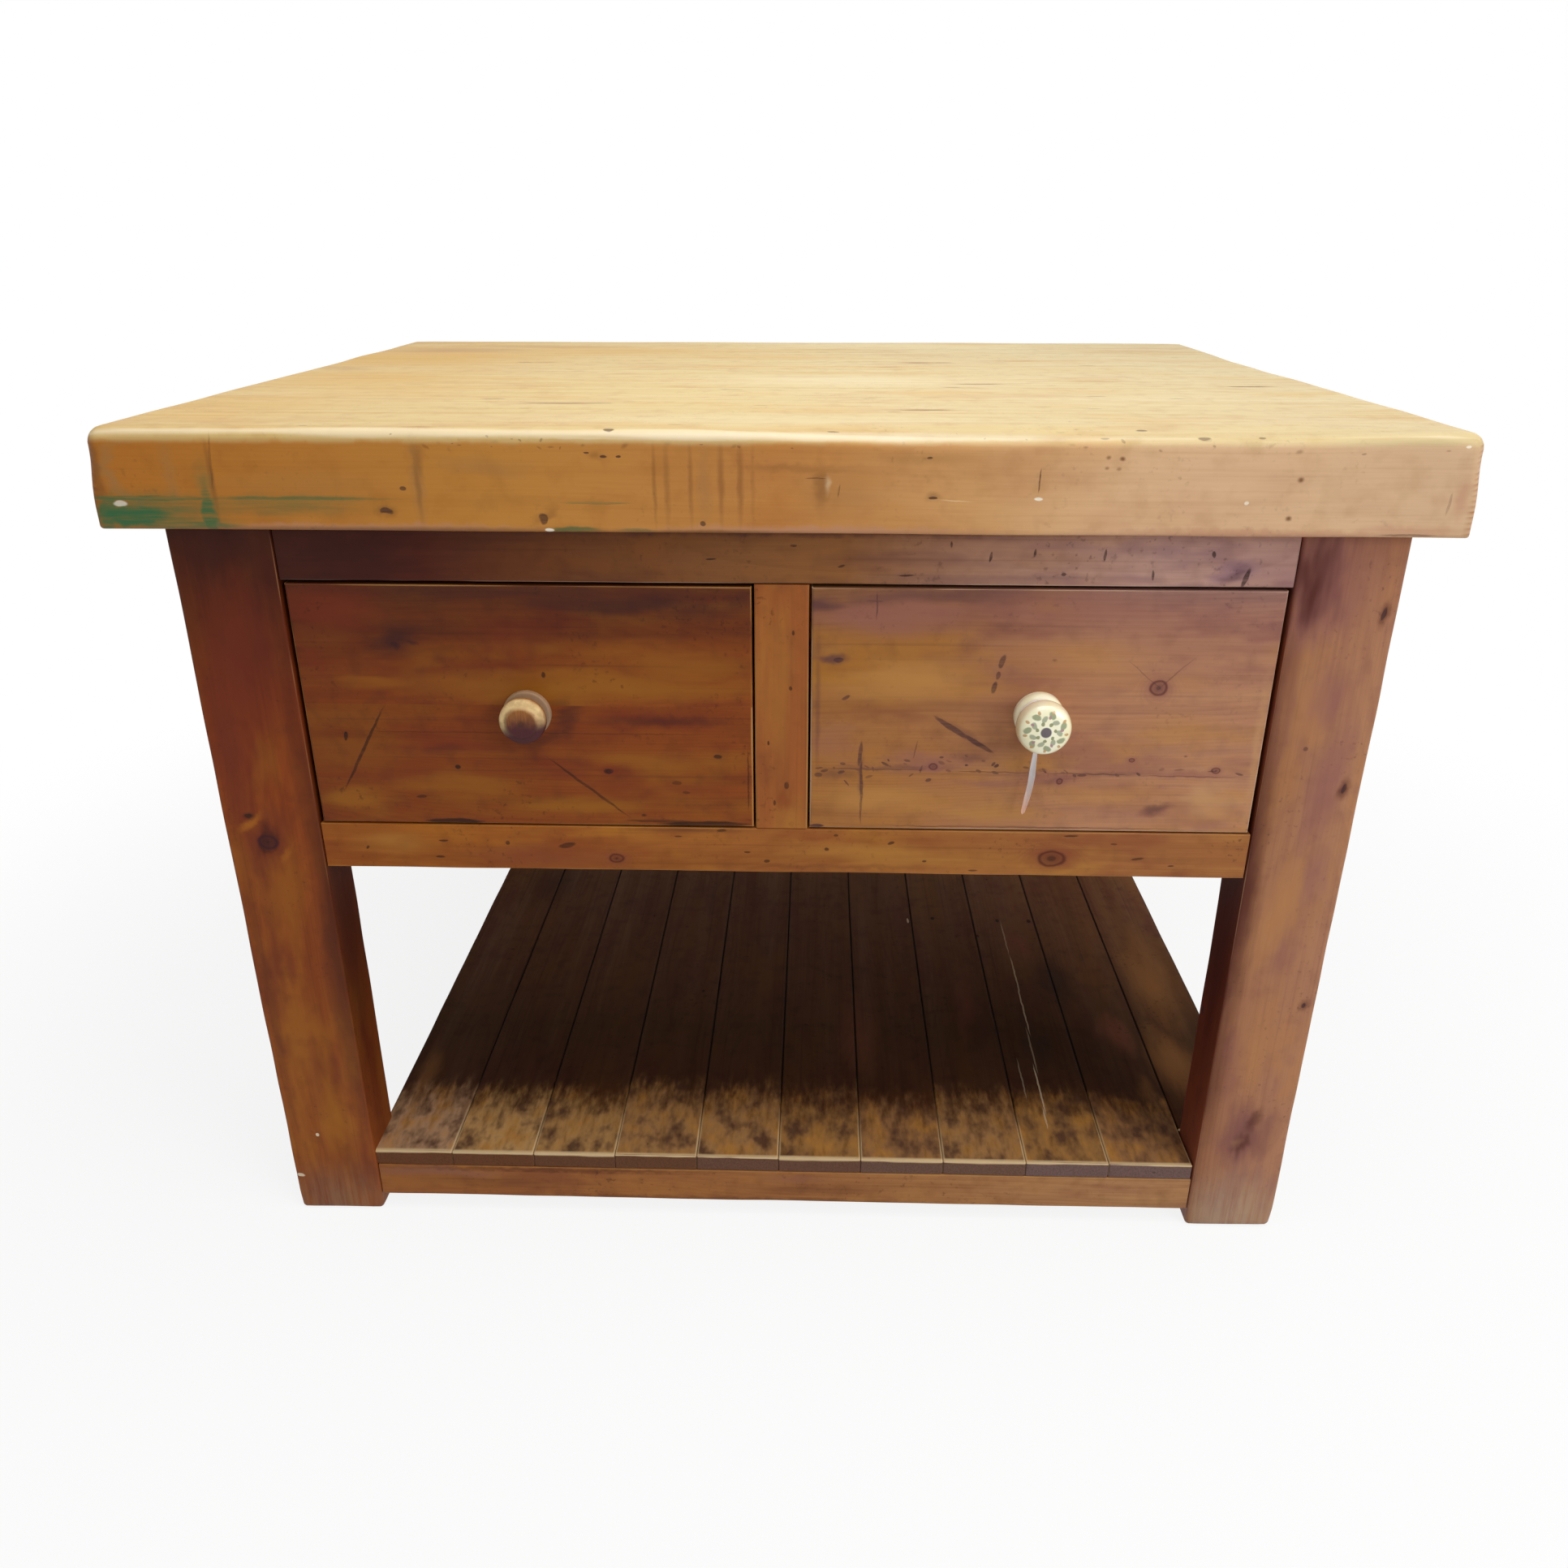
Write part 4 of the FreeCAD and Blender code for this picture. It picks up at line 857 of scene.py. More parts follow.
    def end_grain(self, colour: Source, rings: Socket) -> Source:
        """Shows the rings on the sawn ends, where the cut fibres have taken in more dirt than the sides.

        Args:
            colour: the colour so far.
            rings: the mask of the late wood.

        Returns:
            The colour.
        """
        g = self.g
        reach = g.add("Math.ABSOLUTE", self.parts[0])
        at_end = g.add("MapRange", reach, *(self.cut.high[0] - level for level in self.end_level))
        share = g.add("MapRange", rings, 0.0, 0.8, 0.15, 0.85)
        share = g.add("Math.MULTIPLY", at_end, share)
        return g.add("MixRGB.MULTIPLY", share, colour, self.finish.sawn)

    def rubbed_and_lit_front(self, colour: Source, cloud: Socket, fibre: Socket) -> Source:
        """Paints the top face bright along the front end, partly rubbed wood and partly painted light, leaving
        dark flecks on the grain, draws a painted highlight on the front arris, and tones the end.

        Args:
            colour: the colour so far.
            cloud: slow noise that makes the strip's limit uneven.
            fibre: the noise of the fibres.

        Returns:
            The colour.
        """
        g, f, cut, front = self.g, self.finish, self.cut, self.cut.low[1]
        y = g.add("Math.SUBTRACT", self.parts[1], front)
        y = g.add("Math.MULTIPLY_ADD", g.add("Math.SUBTRACT", cloud, 0.5), 0.09, y)
        near = g.add("MapRange.SMOOTHSTEP", y, 1.75 * cut.rubbed, 0.45 * cut.rubbed)
        flecks = self.along((34.0, 110.0, 110.0), 4.0, 2.9)
        flecks = g.add("Math.MULTIPLY_ADD", near, 0.55, flecks)
        left = g.add("MapRange.SMOOTHSTEP", flecks, 0.45, 1.2)
        left = g.add("Math.MULTIPLY", left, g.add("MapRange", near, 0.0, 0.3))
        patches = self.along((22.0, 34.0, 34.0), 3.0, 6.1)
        strip = g.add("MixRGB", g.add("MapRange", patches, 0.5, 0.68, 0.0, 0.75), f.glow, f.bright)
        strip = g.add("MixRGB", g.add("MapRange", patches, 0.5, 0.34, 0.0, 0.9), strip, f.smoke)
        seam = g.add("MapRange", self.from_seam, 2.4 * f.seam, 1.2 * f.seam, 0.0, 0.6)
        at_joint = g.add("MapRange", y, 1.0 * cut.rubbed, 0.3 * cut.rubbed)
        seam = g.add("Math.MULTIPLY", seam, at_joint)
        colour = g.add("MixRGB", seam, g.add("MixRGB", left, colour, strip), f.worn)
        # A painted highlight: a pale line along the front arris.
        rim = g.add("MapRange", self.parts[1], front + 6 * MM, front + 3 * MM, 0.0, 0.8)
        colour = g.add("MixRGB", rim, colour, f.worn)
        at_end = g.add("MapRange", self.parts[1], front + 2.5 * MM, front + 1 * MM)
        end = g.add("MixRGB", g.add("MapRange", fibre, 0.4, 0.7, 0.0, 0.4), cut.end, f.shade)
        return g.add("MixRGB", at_end, colour, end)


def board(piece: bpy.types.Object, finish: Pine, cut: Cut) -> None:
    """Dresses a wooden piece in its own board's material."""
    PineCoat(finish, cut, piece.name).build().dress(piece)


# ---------------------------------------------------------------- finishes


# The worktop's edge: planed across and never scrubbed, so that hands and old oil have left it tan and satin.
EDGE_PINE = Pine("worktop_edge", early="#DCB892", late="#C89E74", shade="#A07442", glow="#E6C496",
                 gold="#D0A060", plum="#B88668", dusk="#70441C", worn="#F0D8B0")
# The top: bare pine scrubbed for years, which leaves it pale, with weak ring lines, stains and dark knocks; its
# wide pale arrises are partly worn wood and partly painted highlight.
BARE_PINE = Pine("scrubbed_pine", early="#E2CC98", late="#D0AC70", shade="#B98C54", glow="#EEDCAE",
                 gold="#D8A84E", plum="#CCA070", dusk="#7A5230", worn="#F9E8C6", grime="#4A2C1C",
                 knot="#5A2E1E", fleck="#F4EBD8", ring=4.5 * MM, line=0.15, streaks=0.2,
                 streak_scale=(3.0, 70.0, 70.0), clouds=0.35, hair=0.14, wear=8 * MM, wear_amount=0.6,
                 dents=0.1, dent_cells=(9.0, 60.0, 60.0), specks=0.2, rough=0.5, gloss=0.25, edge=EDGE_PINE)
# The left legs: pine under many coats of dark wax, a deep satin red-brown, rubbed lighter on the arrises; part
# of their darkness beside the right legs is painted shade, on the side away from the light.
LEFT_PINE = Pine("dark_waxed_pine", early="#954F1A", late="#743A14", shade="#5C2A12", glow="#A8621E",
                 gold="#A4661E", plum="#6E2C18", dusk="#3A140A", worn="#B07E54", knot="#3A1226",
                 daub="#A88C6C", ring=3.4 * MM, line=0.3, streaks=0.35, wear=1.3 * MM, wear_amount=0.45,
                 dents=0.06)
# The rails and panels: the same wax, thinner, so that the wood shows golden brown between dirt-filled dents.
WAXED_PINE = replace(LEFT_PINE, name="waxed_pine", early="#A06638", late="#804C2A", shade="#6C3E22",
                     glow="#B47C3C", gold="#B07A36", plum="#84462A", worn="#B8884C", knot="#4A1C14",
                     dents=0.12)
# The stile between the drawers: fresh wax on it, more orange and with less dirt than on the rails.
STILE_PINE = replace(WAXED_PINE, name="stile_waxed_pine", early="#9F5A2A", gold="#AC7030", plum="#84401E")
# The rail at the floor: kicked and mopped, its wax dulled to a grey brown.
LOWER_PINE = replace(WAXED_PINE, name="lower_waxed_pine", early="#AC7E54", gold="#B88A54", plum="#8E5C44")
# The top rail: waxed pine whose greyish mauve is a painted sheen of the light from the right; under the
# worktop's overhang, where it isn't rubbed, its tint paints the overhang's shadow.
RAIL_PINE = replace(WAXED_PINE, name="rail_waxed_pine", early="#B9948B", late="#9C786E", shade="#7E5C56",
                    glow="#C4A294", gold="#C2967A", plum="#8E6A74", dusk="#4A2A28", worn="#C8A890",
                    grime="#2A1612", dents=0.1)
# The right legs: wax rubbed thin by passing hands, a paler lilac brown with plum-coloured knots; the paleness
# is partly painted light from the right and the lilac cast a painted sheen.
RIGHT_PINE = replace(LEFT_PINE, name="rubbed_and_lit_waxed_pine", early="#AD7A5A", late="#90604A", shade="#7E5046",
                     glow="#BA8A62", gold="#B27C4C", plum="#8C5A56", dusk="#48180E", worn="#C49C7A",
                     clouds=0.5, wear_amount=0.5, grime="#3C2428", knot="#4E2C3A", daub="#B8A48A")
# The left drawer front: dark wax with clear gold where it has been wiped, darker than the right front partly as
# painted shade away from the light; its darker top is painted shade under the top rail.
LEFT_DRAWER_PINE = replace(LEFT_PINE, name="smoky_and_shaded_waxed_pine", early="#8C4718", late="#6E3612",
                           shade="#4C2418", glow="#9A601E", gold="#985E1C", plum="#742F18", dusk="#3A1A18",
                           worn="#BC8A50", knot="#33101C", ring=3.0 * MM, wear=1.5 * MM, wear_amount=0.7)
# The right drawer front: thin golden wax with worn pale arrises, paler than the left front partly as painted
# light from the right; its greying towards the top is painted shade under the top rail.
RIGHT_DRAWER_PINE = replace(LEFT_PINE, name="golden_waxed_pine", early="#B68262", late="#98664A",
                            shade="#7C5448", glow="#C09266", gold="#BA8444", plum="#946052", dusk="#5A3838",
                            worn="#D4B494", ring=3.0 * MM, wear_amount=0.8, grime="#42282C", knot="#542428",
                            dents=0.05, specks=0.25)
# The shelf: stained nearly black-brown and left unwaxed, matt, and amber along the front, partly rubbed back to
# the wood and partly painted light where the lamp reaches under the case.
STAINED_PINE = Pine("stained_pine", early="#7A5236", late="#5A3A26", shade="#3E281C", glow="#B08652",
                    gold="#805632", plum="#6C4030", dusk="#2A1C18", worn="#D8BC90", grime="#150A05",
                    ring=3.6 * MM, line=0.3, streaks=0.25, rough=0.62, wear=2.6 * MM, wear_amount=0.9,
                    gloss=0.04, seam=1.1 * MM)
# The joinery inside: planed and left bare, so that it stays clean, matt and light brown.
INNER_PINE = Pine("planed_pine", early="#C29A66", late="#A27544", shade="#9A7044", glow="#D0AC78",
                  gold="#C8A060", plum="#B0805A", dusk="#5A3A20", worn="#CBA878", ring=3.6 * MM, wear=1 * MM,
                  wear_amount=0.3, dents=0.02, specks=0.1, rough=0.6, clouds=0.35)


# ---------------------------------------------------------------- the worktop


@dataclass
class WorktopBoard(Timber):
    """A worktop board, with wider arrises at its ends' upper corners and narrow ones below.

    The front one's arris is worn lower right of the middle, and the right end is a little hollow.
    A stretch is given by where it starts and where it is full.
    """
    dip: float = 0.0
    dip_starts: tuple[float, float] = (-0.14, 0.16)
    dip_ends: tuple[float, float] = (0.42, 0.58)
    dip_depth: float = 50 * MM
    bow: float = 8 * MM
    bow_starts: tuple[float, float] = (0.3, 0.615)
    bow_middle: float = 0.18
    bow_reach: float = 0.2

    def radius(self, points: Array) -> Array:
        """The plain radius, 1.7 times as wide at the upper corners of the ends, and under half of it below.

        Args:
            points: points of the plain block.

        Returns:
            A radius in metres for each point.
        """
        at_end = ease_in(np.abs(points[:, 0]), 0.57, 0.61)
        upper = ease_in(points[:, 2], self.low[2] + 0.02, self.high[2] - 0.02)
        plain = self.arris * (1 + 0.12 * swell(points, 0.3, self.seed))
        return plain * (0.4 + 0.6 * upper) * (1 + 0.7 * at_end * upper)

    def worn(self, points: Array) -> Array:
        """The plain wear, with gentle waves as long as a hand's reach."""
        return super().worn(points) + 0.5 * MM * (0.5 + 0.5 * swell(points, 0.4, 91))

    def shape(self) -> tuple[Array, Array]:
        """The worn board, its right end drawn in by the bow and its front arris down by the dip.

        The bow falls as a bell on both sides of its middle, and the dip fades over its depth from the edge.

        Returns:
            Points and faces.
        """
        points, faces = super().shape()
        x, y, z = points.T
        bell = np.exp(-((y - self.bow_middle) / self.bow_reach) ** 2)
        points[:, 0] -= self.bow * ease_in(x, *self.bow_starts) * bell
        if self.dip:
            stretch = ease_in(x, *self.dip_starts) * (1 - ease_in(x, *self.dip_ends))
            top = ease_in(z, self.low[2] + 0.03, self.high[2] - 0.004)
            near = 1 - ease_in(y, self.low[1] - 2 * MM, self.low[1] + self.dip_depth)
            wave = 1 + 0.25 * swell(points * (1, 0, 0), 0.3, 17)
            points[:, 2] -= self.dip * stretch * top * near * wave
        return points, faces


@dataclass
class Worktop:
    """The thick scrubbed top, of boards side by side."""
    arris: float = 9 * MM
    dip: float = 6.5 * MM
    count: int = 5
    knocked: tuple[float, float] = (882, 896)

    def edge_marks(self) -> tuple[Mark, ...]:
        """Green paint, drips, scratches and stains on the front edge, random knocks under its arris, a painted
        highlight along the arris and a painted shadow along the lower edge.

        Returns:
            The marks.
        """
        marks = spots(
            daub=((-580, 822, 44, 11), (-560, 838, 80, 3.0, 0, 0.9), (-430, 838.5, 120, 2.2, 0, 0.6),
                  (-511, 824, 30, 9, 90, 0.9), (-603, 824, 24, 10, 70, 0.8), (-530, 814, 60, 4, 0, 0.7),
                  (-161, 836, 40, 1.8, 0, 0.45), (-180, 812, 30, 4.0, 0, 0.75),
                  (-125, 812, 22, 2.4, 0, 0.45)),
            wash=((-565, 824, 110, 28, 0, 0.8), (-450, 832, 140, 14, 0, 0.5), (-511, 850, 34, 11, 90, 0.5)),
            # The last chalk, a long faint pale band along the front arris, is a painted highlight.
            chalk=((-590, 833, 8, 3.4, 0, 0.7), (-203, 812, 5, 2), (232, 842, 5, 2),
                   (414, 840, 2.6, 2.2, 0, 0.7), (596, 889, 3, 1.6, 0, 0.7), (20, 894, 400, 4.4, 0, 0.25)))
        draw = np.random.default_rng(8)
        for trace, count, left, right, size, amount in (
                ("scratch", 12, -380, 20, 2.0, 0.45), ("dusk", 12, -330, 0, 4.0, 0.5),
                ("scratch", 6, 150, 560, 2.0, 0.4), ("dusk", 8, 150, 580, 4.0, 0.45)):
            x, z = draw.uniform(left, right, count), draw.uniform(*self.knocked, count)
            long = size * draw.uniform(0.6, 1.5, count)
            wide, turn = long * draw.uniform(0.3, 0.6, count), draw.normal(0, 25, count)
            rows = np.stack([x, z, long, wide, turn, np.full(count, amount)], axis=1)
            marks += spots(**{trace: rows.tolist()})
        return marks + spots(
            scratch=((-501, 870, 30, 1.6, 84, 0.35), (-151, 877, 3.5, 1.6), (-138, 877, 3, 1.3),
                     (35, 859, 11, 0.8, 0, 0.6), (135, 877, 3, 1.4), (139, 842, 5, 1.6),
                     (232, 858, 13, 0.9, 88, 0.75), (-166, 880, 3, 1.2), (-350, 828, 6, 4.6),
                     (-332, 848, 4, 2.6, 0, 0.8), (-208, 821, 5, 5.5, 0, 0.9), (-65, 818, 3.4, 3, 0, 0.8),
                     (56, 848, 7, 1.0, 80, 0.5), (560, 812, 30, 1.4, 0, 0.5), (590, 840, 12, 1.6, 85, 0.3)),
            # The first two dusk bands, along the lower edge at z 810 and 811, are a painted shadow.
            dusk=((-350, 811, 280, 4.5, 0, 0.6), (-60, 810, 120, 4, 0, 0.7), (-606, 855, 50, 8, 90, 0.5),
                  (-316, 870, 26, 8, 90, 0.4), (40, 852, 30, 10, 90, 0.45), (-350, 828, 14, 10, 0, 0.5),
                  (-208, 822, 12, 12, 0, 0.4), (20, 868, 80, 6, 0, 0.3), (-180, 812, 60, 6, 0, 0.4),
                  *((x, 855, 54, wide, 90, amount) for x, wide, amount in (
                      (-107, 3.0, 0.4), (-96, 4.4, 0.35), (-75, 3.4, 0.4), (-48, 4.4, 0.45), (-31, 4.4, 0.45),
                      (-20, 3.0, 0.2), (-503, 4.0, 0.5), (-318, 4.2, 0.4))),
                  (290, 878, 3.4, 2.6, 0, 0.7), (302, 877, 3.6, 3, 0, 0.9), (289, 869, 3, 2.4, 0, 0.6),
                  (300, 868, 3, 2.4, 0, 0.5), (458, 860, 4, 3.6, 0, 0.9), (453, 826, 4, 3.4, 0, 0.9),
                  (-158, 878, 10, 6, 0, 0.4), (139, 843, 9, 6, 0, 0.4)),
            shade=((-585, 853, 60, 14, 90, 0.6), (-540, 853, 60, 10, 90, 0.4), (-318, 853, 60, 9, 90, 0.5),
                   (-63, 853, 60, 9, 90, 0.4), (-260, 870, 60, 14, 0, 0.35), (70, 850, 70, 30, 0, 0.35),
                   (130, 876, 60, 9, 0, 0.35), (-420, 850, 90, 20, 0, 0.25)),
            plum=(*((x, 812, 240, 7, 0, 0.7) for x in (-380, 40, 420)), (560, 815, 60, 9, 0, 0.6),
                  (600, 845, 30, 9, 90, 0.5)),
            glow=((45, 854, 12, 5, 90, 0.7), (159, 840, 22, 0.9, -3, 0.7)))

    def top_marks(self) -> tuple[Mark, ...]:
        """Dark streaks, spots and brown areas on the top.

        Returns:
            The marks.
        """
        return spots(
            Side.TOP,
            scratch=((-226, -287, 40, 4.0, 1, 0.7), (-185, -284, 18, 3.4, 0, 0.6),
                     (219, -98, 34, 4.2, 3, 0.6), (140, -331, 30, 3.8, 1, 0.6), (50, -455, 7, 2.6, 0, 0.8),
                     (322, -446, 6, 2.8, 0, 0.8), (524, -110, 34, 5, 2, 0.8), (-300, -250, 16, 3.4, 0, 0.5),
                     (-355, 150, 12, 5, 0, 0.6), (168, 155, 20, 5, 2, 0.5), (205, 165, 14, 4, 0, 0.5),
                     (40, 170, 12, 3, 0, 0.4), (-60, -160, 16, 2.4, 0, 0.4), (330, -210, 14, 2.8, 0, 0.5),
                     (90, -240, 10, 2.4, 0, 0.5), (-420, -120, 18, 2.6, 0, 0.35), (-146, -467, 6, 3, 0, 0.8),
                     (286, -466, 5, 2.4, 0, 0.6), (371, -468, 7, 3, 0, 0.7), (421, -467, 4, 2.2, 0, 0.6),
                     (-90, -440, 9, 2, 0, 0.5), (-420, -455, 5, 2.4, 0, 0.5), (110, -345, 9, 2.4, 0, 0.5),
                     (262, -300, 7, 2.2, 0, 0.4), (-20, -300, 9, 2, 0, 0.4), (-250, -330, 8, 2, 0, 0.4),
                     (430, -330, 8, 2.2, 0, 0.4)),
            shade=((178, 158, 70, 14, 2), (124, 100, 30, 10, 0, 0.8), (300, 190, 50, 10, 0, 0.6),
                   (219, -98, 60, 11, 3, 0.8), (140, -331, 60, 10, 1, 0.9), (524, -110, 60, 11, 2, 0.7),
                   (-226, -287, 80, 10, 0, 0.7), (-316, -462, 22, 9, 0, 0.8), (-355, 150, 34, 12, 0, 0.7),
                   (20, -20, 90, 10, 0, 0.5), (-500, 330, 160, 60, 0, 0.7), (-380, 400, 200, 30, 0, 0.5),
                   (360, -60, 70, 14, 0, 0.4), (-150, 60, 80, 12, 0, 0.35), (-560, 60, 60, 40, 0, 0.4)),
            gold=((-520, 240, 300, 220, 0, 0.85), (-300, 330, 360, 110, 0, 0.6),
                  (-500, -60, 220, 160, 0, 0.55), (-60, 240, 240, 60, 0, 0.35),
                  (-540, -330, 160, 120, 0, 0.35)),
            glow=((-80, -400, 420, 60, 0, 0.3), (60, -60, 260, 90, 0, 0.6), (150, 430, 300, 60, 0, 0.5)))

    def build(self) -> None:
        """Makes the boards, each sharp where it meets the next, and dresses them."""
        edge, streaks = self.edge_marks(), self.top_marks()
        slab_low, slab_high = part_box("worktop_board_1")[0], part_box(f"worktop_board_{self.count}")[1]
        below = (slab_low[0], slab_low[1], slab_low[2] - 0.5)
        # The top's tints: warmer to the left, and a little darker and cooler to the right and along the front,
        # painted shade that trims the lamps' light there.
        tints = (Tint(0, ((-600, "#FAEED0"), (-100, "#FFFBEC"), (100, "#FEFEFC"), (600, "#F0F2F6"))),
                 Tint(1, ((-470, "#F8F6F4"), (-200, "#FFFFFF"))))
        # Painted shade: the edge darker and more orange to the left, away from the light on the right.
        edge_tints = (Tint(0, ((-600, "#D29E46"), (-250, "#DDB668"), (0, "#DEB67A"), (170, "#EAD2AA"),
                               (320, "#FCF6EE"), (600, "#F0EEEE"))),)
        for number in range(1, self.count + 1):
            node = f"worktop_board_{number}"
            low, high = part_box(node)
            square = ("" if number == 1 else "-y") + ("" if number == self.count else "+y")
            shape = WorktopBoard(low, high, self.arris, 8 * MM, square, 0.7 * MM, seed=5,
                                 dip=self.dip if number == 1 else 0.0)
            piece = new_piece(f"worn_{node}", *shape.shape(), TABLE, "bare_pine", (node,))
            marks = tuple(m for m in streaks if low[1] - m.wide * MM < m.second * MM < high[1] + m.wide * MM)
            marks += edge if number == 1 else ()
            joints = [y / MM for y, inner in ((low[1], number > 1), (high[1], number < self.count)) if inner]
            for side in (Side.LEFT, Side.RIGHT):
                marks += spots(side, scratch=[(y, 856, 52, 0.9, 90, 0.7) for y in joints])
            pith = (0.5 * (low[1] + high[1] - slab_low[1] - slab_high[1]) + 0.02 * (number - 3), 0.13)
            board(piece, BARE_PINE, Cut(Grain.ALONG_X, below, tuple(slab_high), 11 + number, marks, pith=pith,
                                        tints=tints, edge_tints=edge_tints))


# ---------------------------------------------------------------- the base


@dataclass
class LegFrame:
    """Legs, the rails and the stile between them, and the panels that close the case."""
    arris: float = 3 * MM
    foot: float = 7 * MM
    joint: float = 0.6 * MM

    def timber(self, node: str, shape: Timber, grain: Grain, finish: Pine, seed: int,
               **facts: object) -> None:
        """Makes a worn timber in a node's place and dresses it.

        Args:
            node: the CAD node that it replaces.
            shape: the timber.
            grain: the way of its grain.
            finish: its finish.
            seed: its place in the log.
            facts: the marks, knots and other facts of its cut.
        """
        piece = new_piece(f"worn_{node}", *shape.shape(), TABLE, "waxed_pine", (node,))
        board(piece, finish, Cut(grain, tuple(shape.low), tuple(shape.high), seed, **facts))

    def left_leg(self) -> dict[str, object]:
        """The left front leg: nearly black above in painted shade under the worktop, red-brown below, a dark
        knot under the case, a grey foot.

        Returns:
            The facts of its cut.
        """
        marks = spots(
            chalk=((-528, 110, 2.4, 3), (-557, 50, 3, 6, 80, 0.9)),
            wash=((-514, 2, 90, 90, 0, 0.4),),
            plum=((-540, 600, 130, 30, 90, 0.8), (-515, 680, 120, 50, 90, 0.8), (-522, 340, 40, 10, 90, 0.6),
                  (-516, 190, 60, 22, 90, 0.5), (-520, 484, 50, 32, 50, 0.8)),
            gold=((-516, 440, 90, 34, 90, 0.4), (-505, 570, 60, 16, 80, 0.3), (-510, 130, 70, 26, 90, 0.4)),
            shade=((-552, 300, 300, 10, 90, 0.5),),
            glow=((-536, 507, 26, 7, 40, 0.9), (-505, 470, 20, 5, 60, 0.5)),
            # The last dusk, at the leg's top, is a painted shadow under the worktop.
            dusk=((-520, 487, 22, 12, 48, 0.8), (-536, 516, 9, 6, 0, 0.7), (-514, 800, 70, 40, 0, 0.7)),
            scratch=((-520, 486, 19, 13, 48, 0.5), (-536, 516, 5, 3, 0, 0.8)))
        # On the inner face, painted shade where little light falls between the legs.
        marks += spots(Side.RIGHT, dusk=((-425, 420, 420, 90, 90, 0.9),),
                       plum=((-425, 150, 160, 60, 90, 0.5),))
        # Painted shade: darker and more lilac towards the top, under the worktop.
        tints = (Tint(2, ((0, "#FFFFFF"), (180, "#FFFFFF"), (330, "#F2E2F0"), (460, "#F4E2EE"),
                          (570, "#F0D4E4"), (650, "#CEA8C8"), (727, "#A0829E"), (809, "#7A668C"))),)
        return {"marks": marks, "knots": (Knot(-521, 486, 12, 9, 0.9),), "tints": tints}

    def right_leg(self) -> dict[str, object]:
        """The right front leg: orange-brown, lilac-grey and golden, a dark knot above, a grey one below.

        Returns:
            The facts of its cut.
        """
        marks = spots(
            scratch=((512, 601, 3, 3, 60, 0.6), (556, 560, 7, 2.6, 80, 0.8), (560, 736, 8, 2.6, 80, 0.8),
                     (560, 307, 4, 2.6, 80, 0.8)),
            dusk=((556, 560, 16, 8, 80, 0.7), (560, 736, 18, 8, 80, 0.7), (560, 307, 11, 8, 80, 0.6),
                  (488, 768, 50, 40, 80, 0.9), (486, 760, 40, 30, 80, 0.7), (522, 120, 18, 15, 40, 0.6),
                  (532, 155, 26, 10, 75, 0.6)),
            plum=((490, 766, 66, 56, 80), (500, 740, 40, 30, 60, 0.6), (540, 560, 90, 26, 80, 0.6),
                  (524, 660, 60, 22, 90, 0.5), (545, 470, 50, 16, 90, 0.5), (524, 128, 42, 32, 75, 0.8)),
            gold=((515, 640, 70, 20, 90, 0.6), (520, 420, 110, 30, 85, 0.8), (520, 240, 90, 26, 90, 0.6)),
            shade=((480, 420, 380, 8, 90, 0.35), (524, 130, 56, 44, 75), (520, 4, 70, 8, 0, 0.5)),
            glow=((518, 122, 9, 8, 40, 0.4),),
            wash=((526, 4, 90, 110, 0, 0.55),))
        # On the inner face, painted shade where little light falls between the legs.
        marks += spots(Side.LEFT, dusk=((-425, 400, 460, 110, 90),))
        # Painted shade: darker at and towards the inner face, and at the top under the worktop.
        tints = (Tint(0, ((475, "#DCA498"), (477.5, "#DED4C6"), (505, "#F2ECE6"), (573, "#FFFFFF"))),
                 Tint(2, ((0, "#F4FAFF"), (60, "#FBFBFF"), (120, "#FFFFFF"), (700, "#FFFFFF"),
                          (809, "#EEE6F4"))))
        return {"marks": marks, "tints": tints}

    def legs(self) -> None:
        """The four square legs, worn round at the floor."""
        facts = {"front_left_leg": self.left_leg(), "front_right_leg": self.right_leg()}
        nodes = ("front_left_leg", "front_right_leg", "back_left_leg", "back_right_leg")
        for seed, node in enumerate(nodes, 31):
            shape = Timber(*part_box(node), self.arris, 9 * MM, "+z", 0.6 * MM, seed, self.foot)
            finish = RIGHT_PINE if "right" in node else LEFT_PINE
            self.timber(node, shape, Grain.ALONG_Z, finish, seed, pith=(0.035, 0.075), plain_axes="z",
                        **facts.get(node, {}))

    def between(self, node: str, low: Point, high: Point, square: str, arris: float = 2 * MM) -> Timber:
        """A timber of a node's box, cut to other ends where these are given.

        Args:
            node: the CAD node.
            low: lowest corner, None where it is the node's.
            high: highest corner, in the same way.
            square: the sides without an arris.
            arris: its arris radius.

        Returns:
            The timber.
        """
        box_low, box_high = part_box(node)
        return Timber([b if v is None else v for v, b in zip(low, box_low)],
                      [b if v is None else v for v, b in zip(high, box_high)], arris, 9 * MM, square,
                      0.35 * MM, seed=len(node))

    def rail(self, node: str, left: float, right: float, square: str, finish: Pine, seed: int,
             **facts: object) -> None:
        """Makes a front rail between the legs' inner faces.

        Args:
            node: the CAD node.
            left: its left end.
            right: its right end.
            square: the sides without an arris.
            finish: its finish.
            seed: its place in the log.
            facts: the marks, knots and tints of its cut.
        """
        self.timber(node, self.between(node, (left, None, None), (right, None, None), square),
                    Grain.ALONG_X_UPRIGHT, finish, seed, plain_axes="x", **facts)

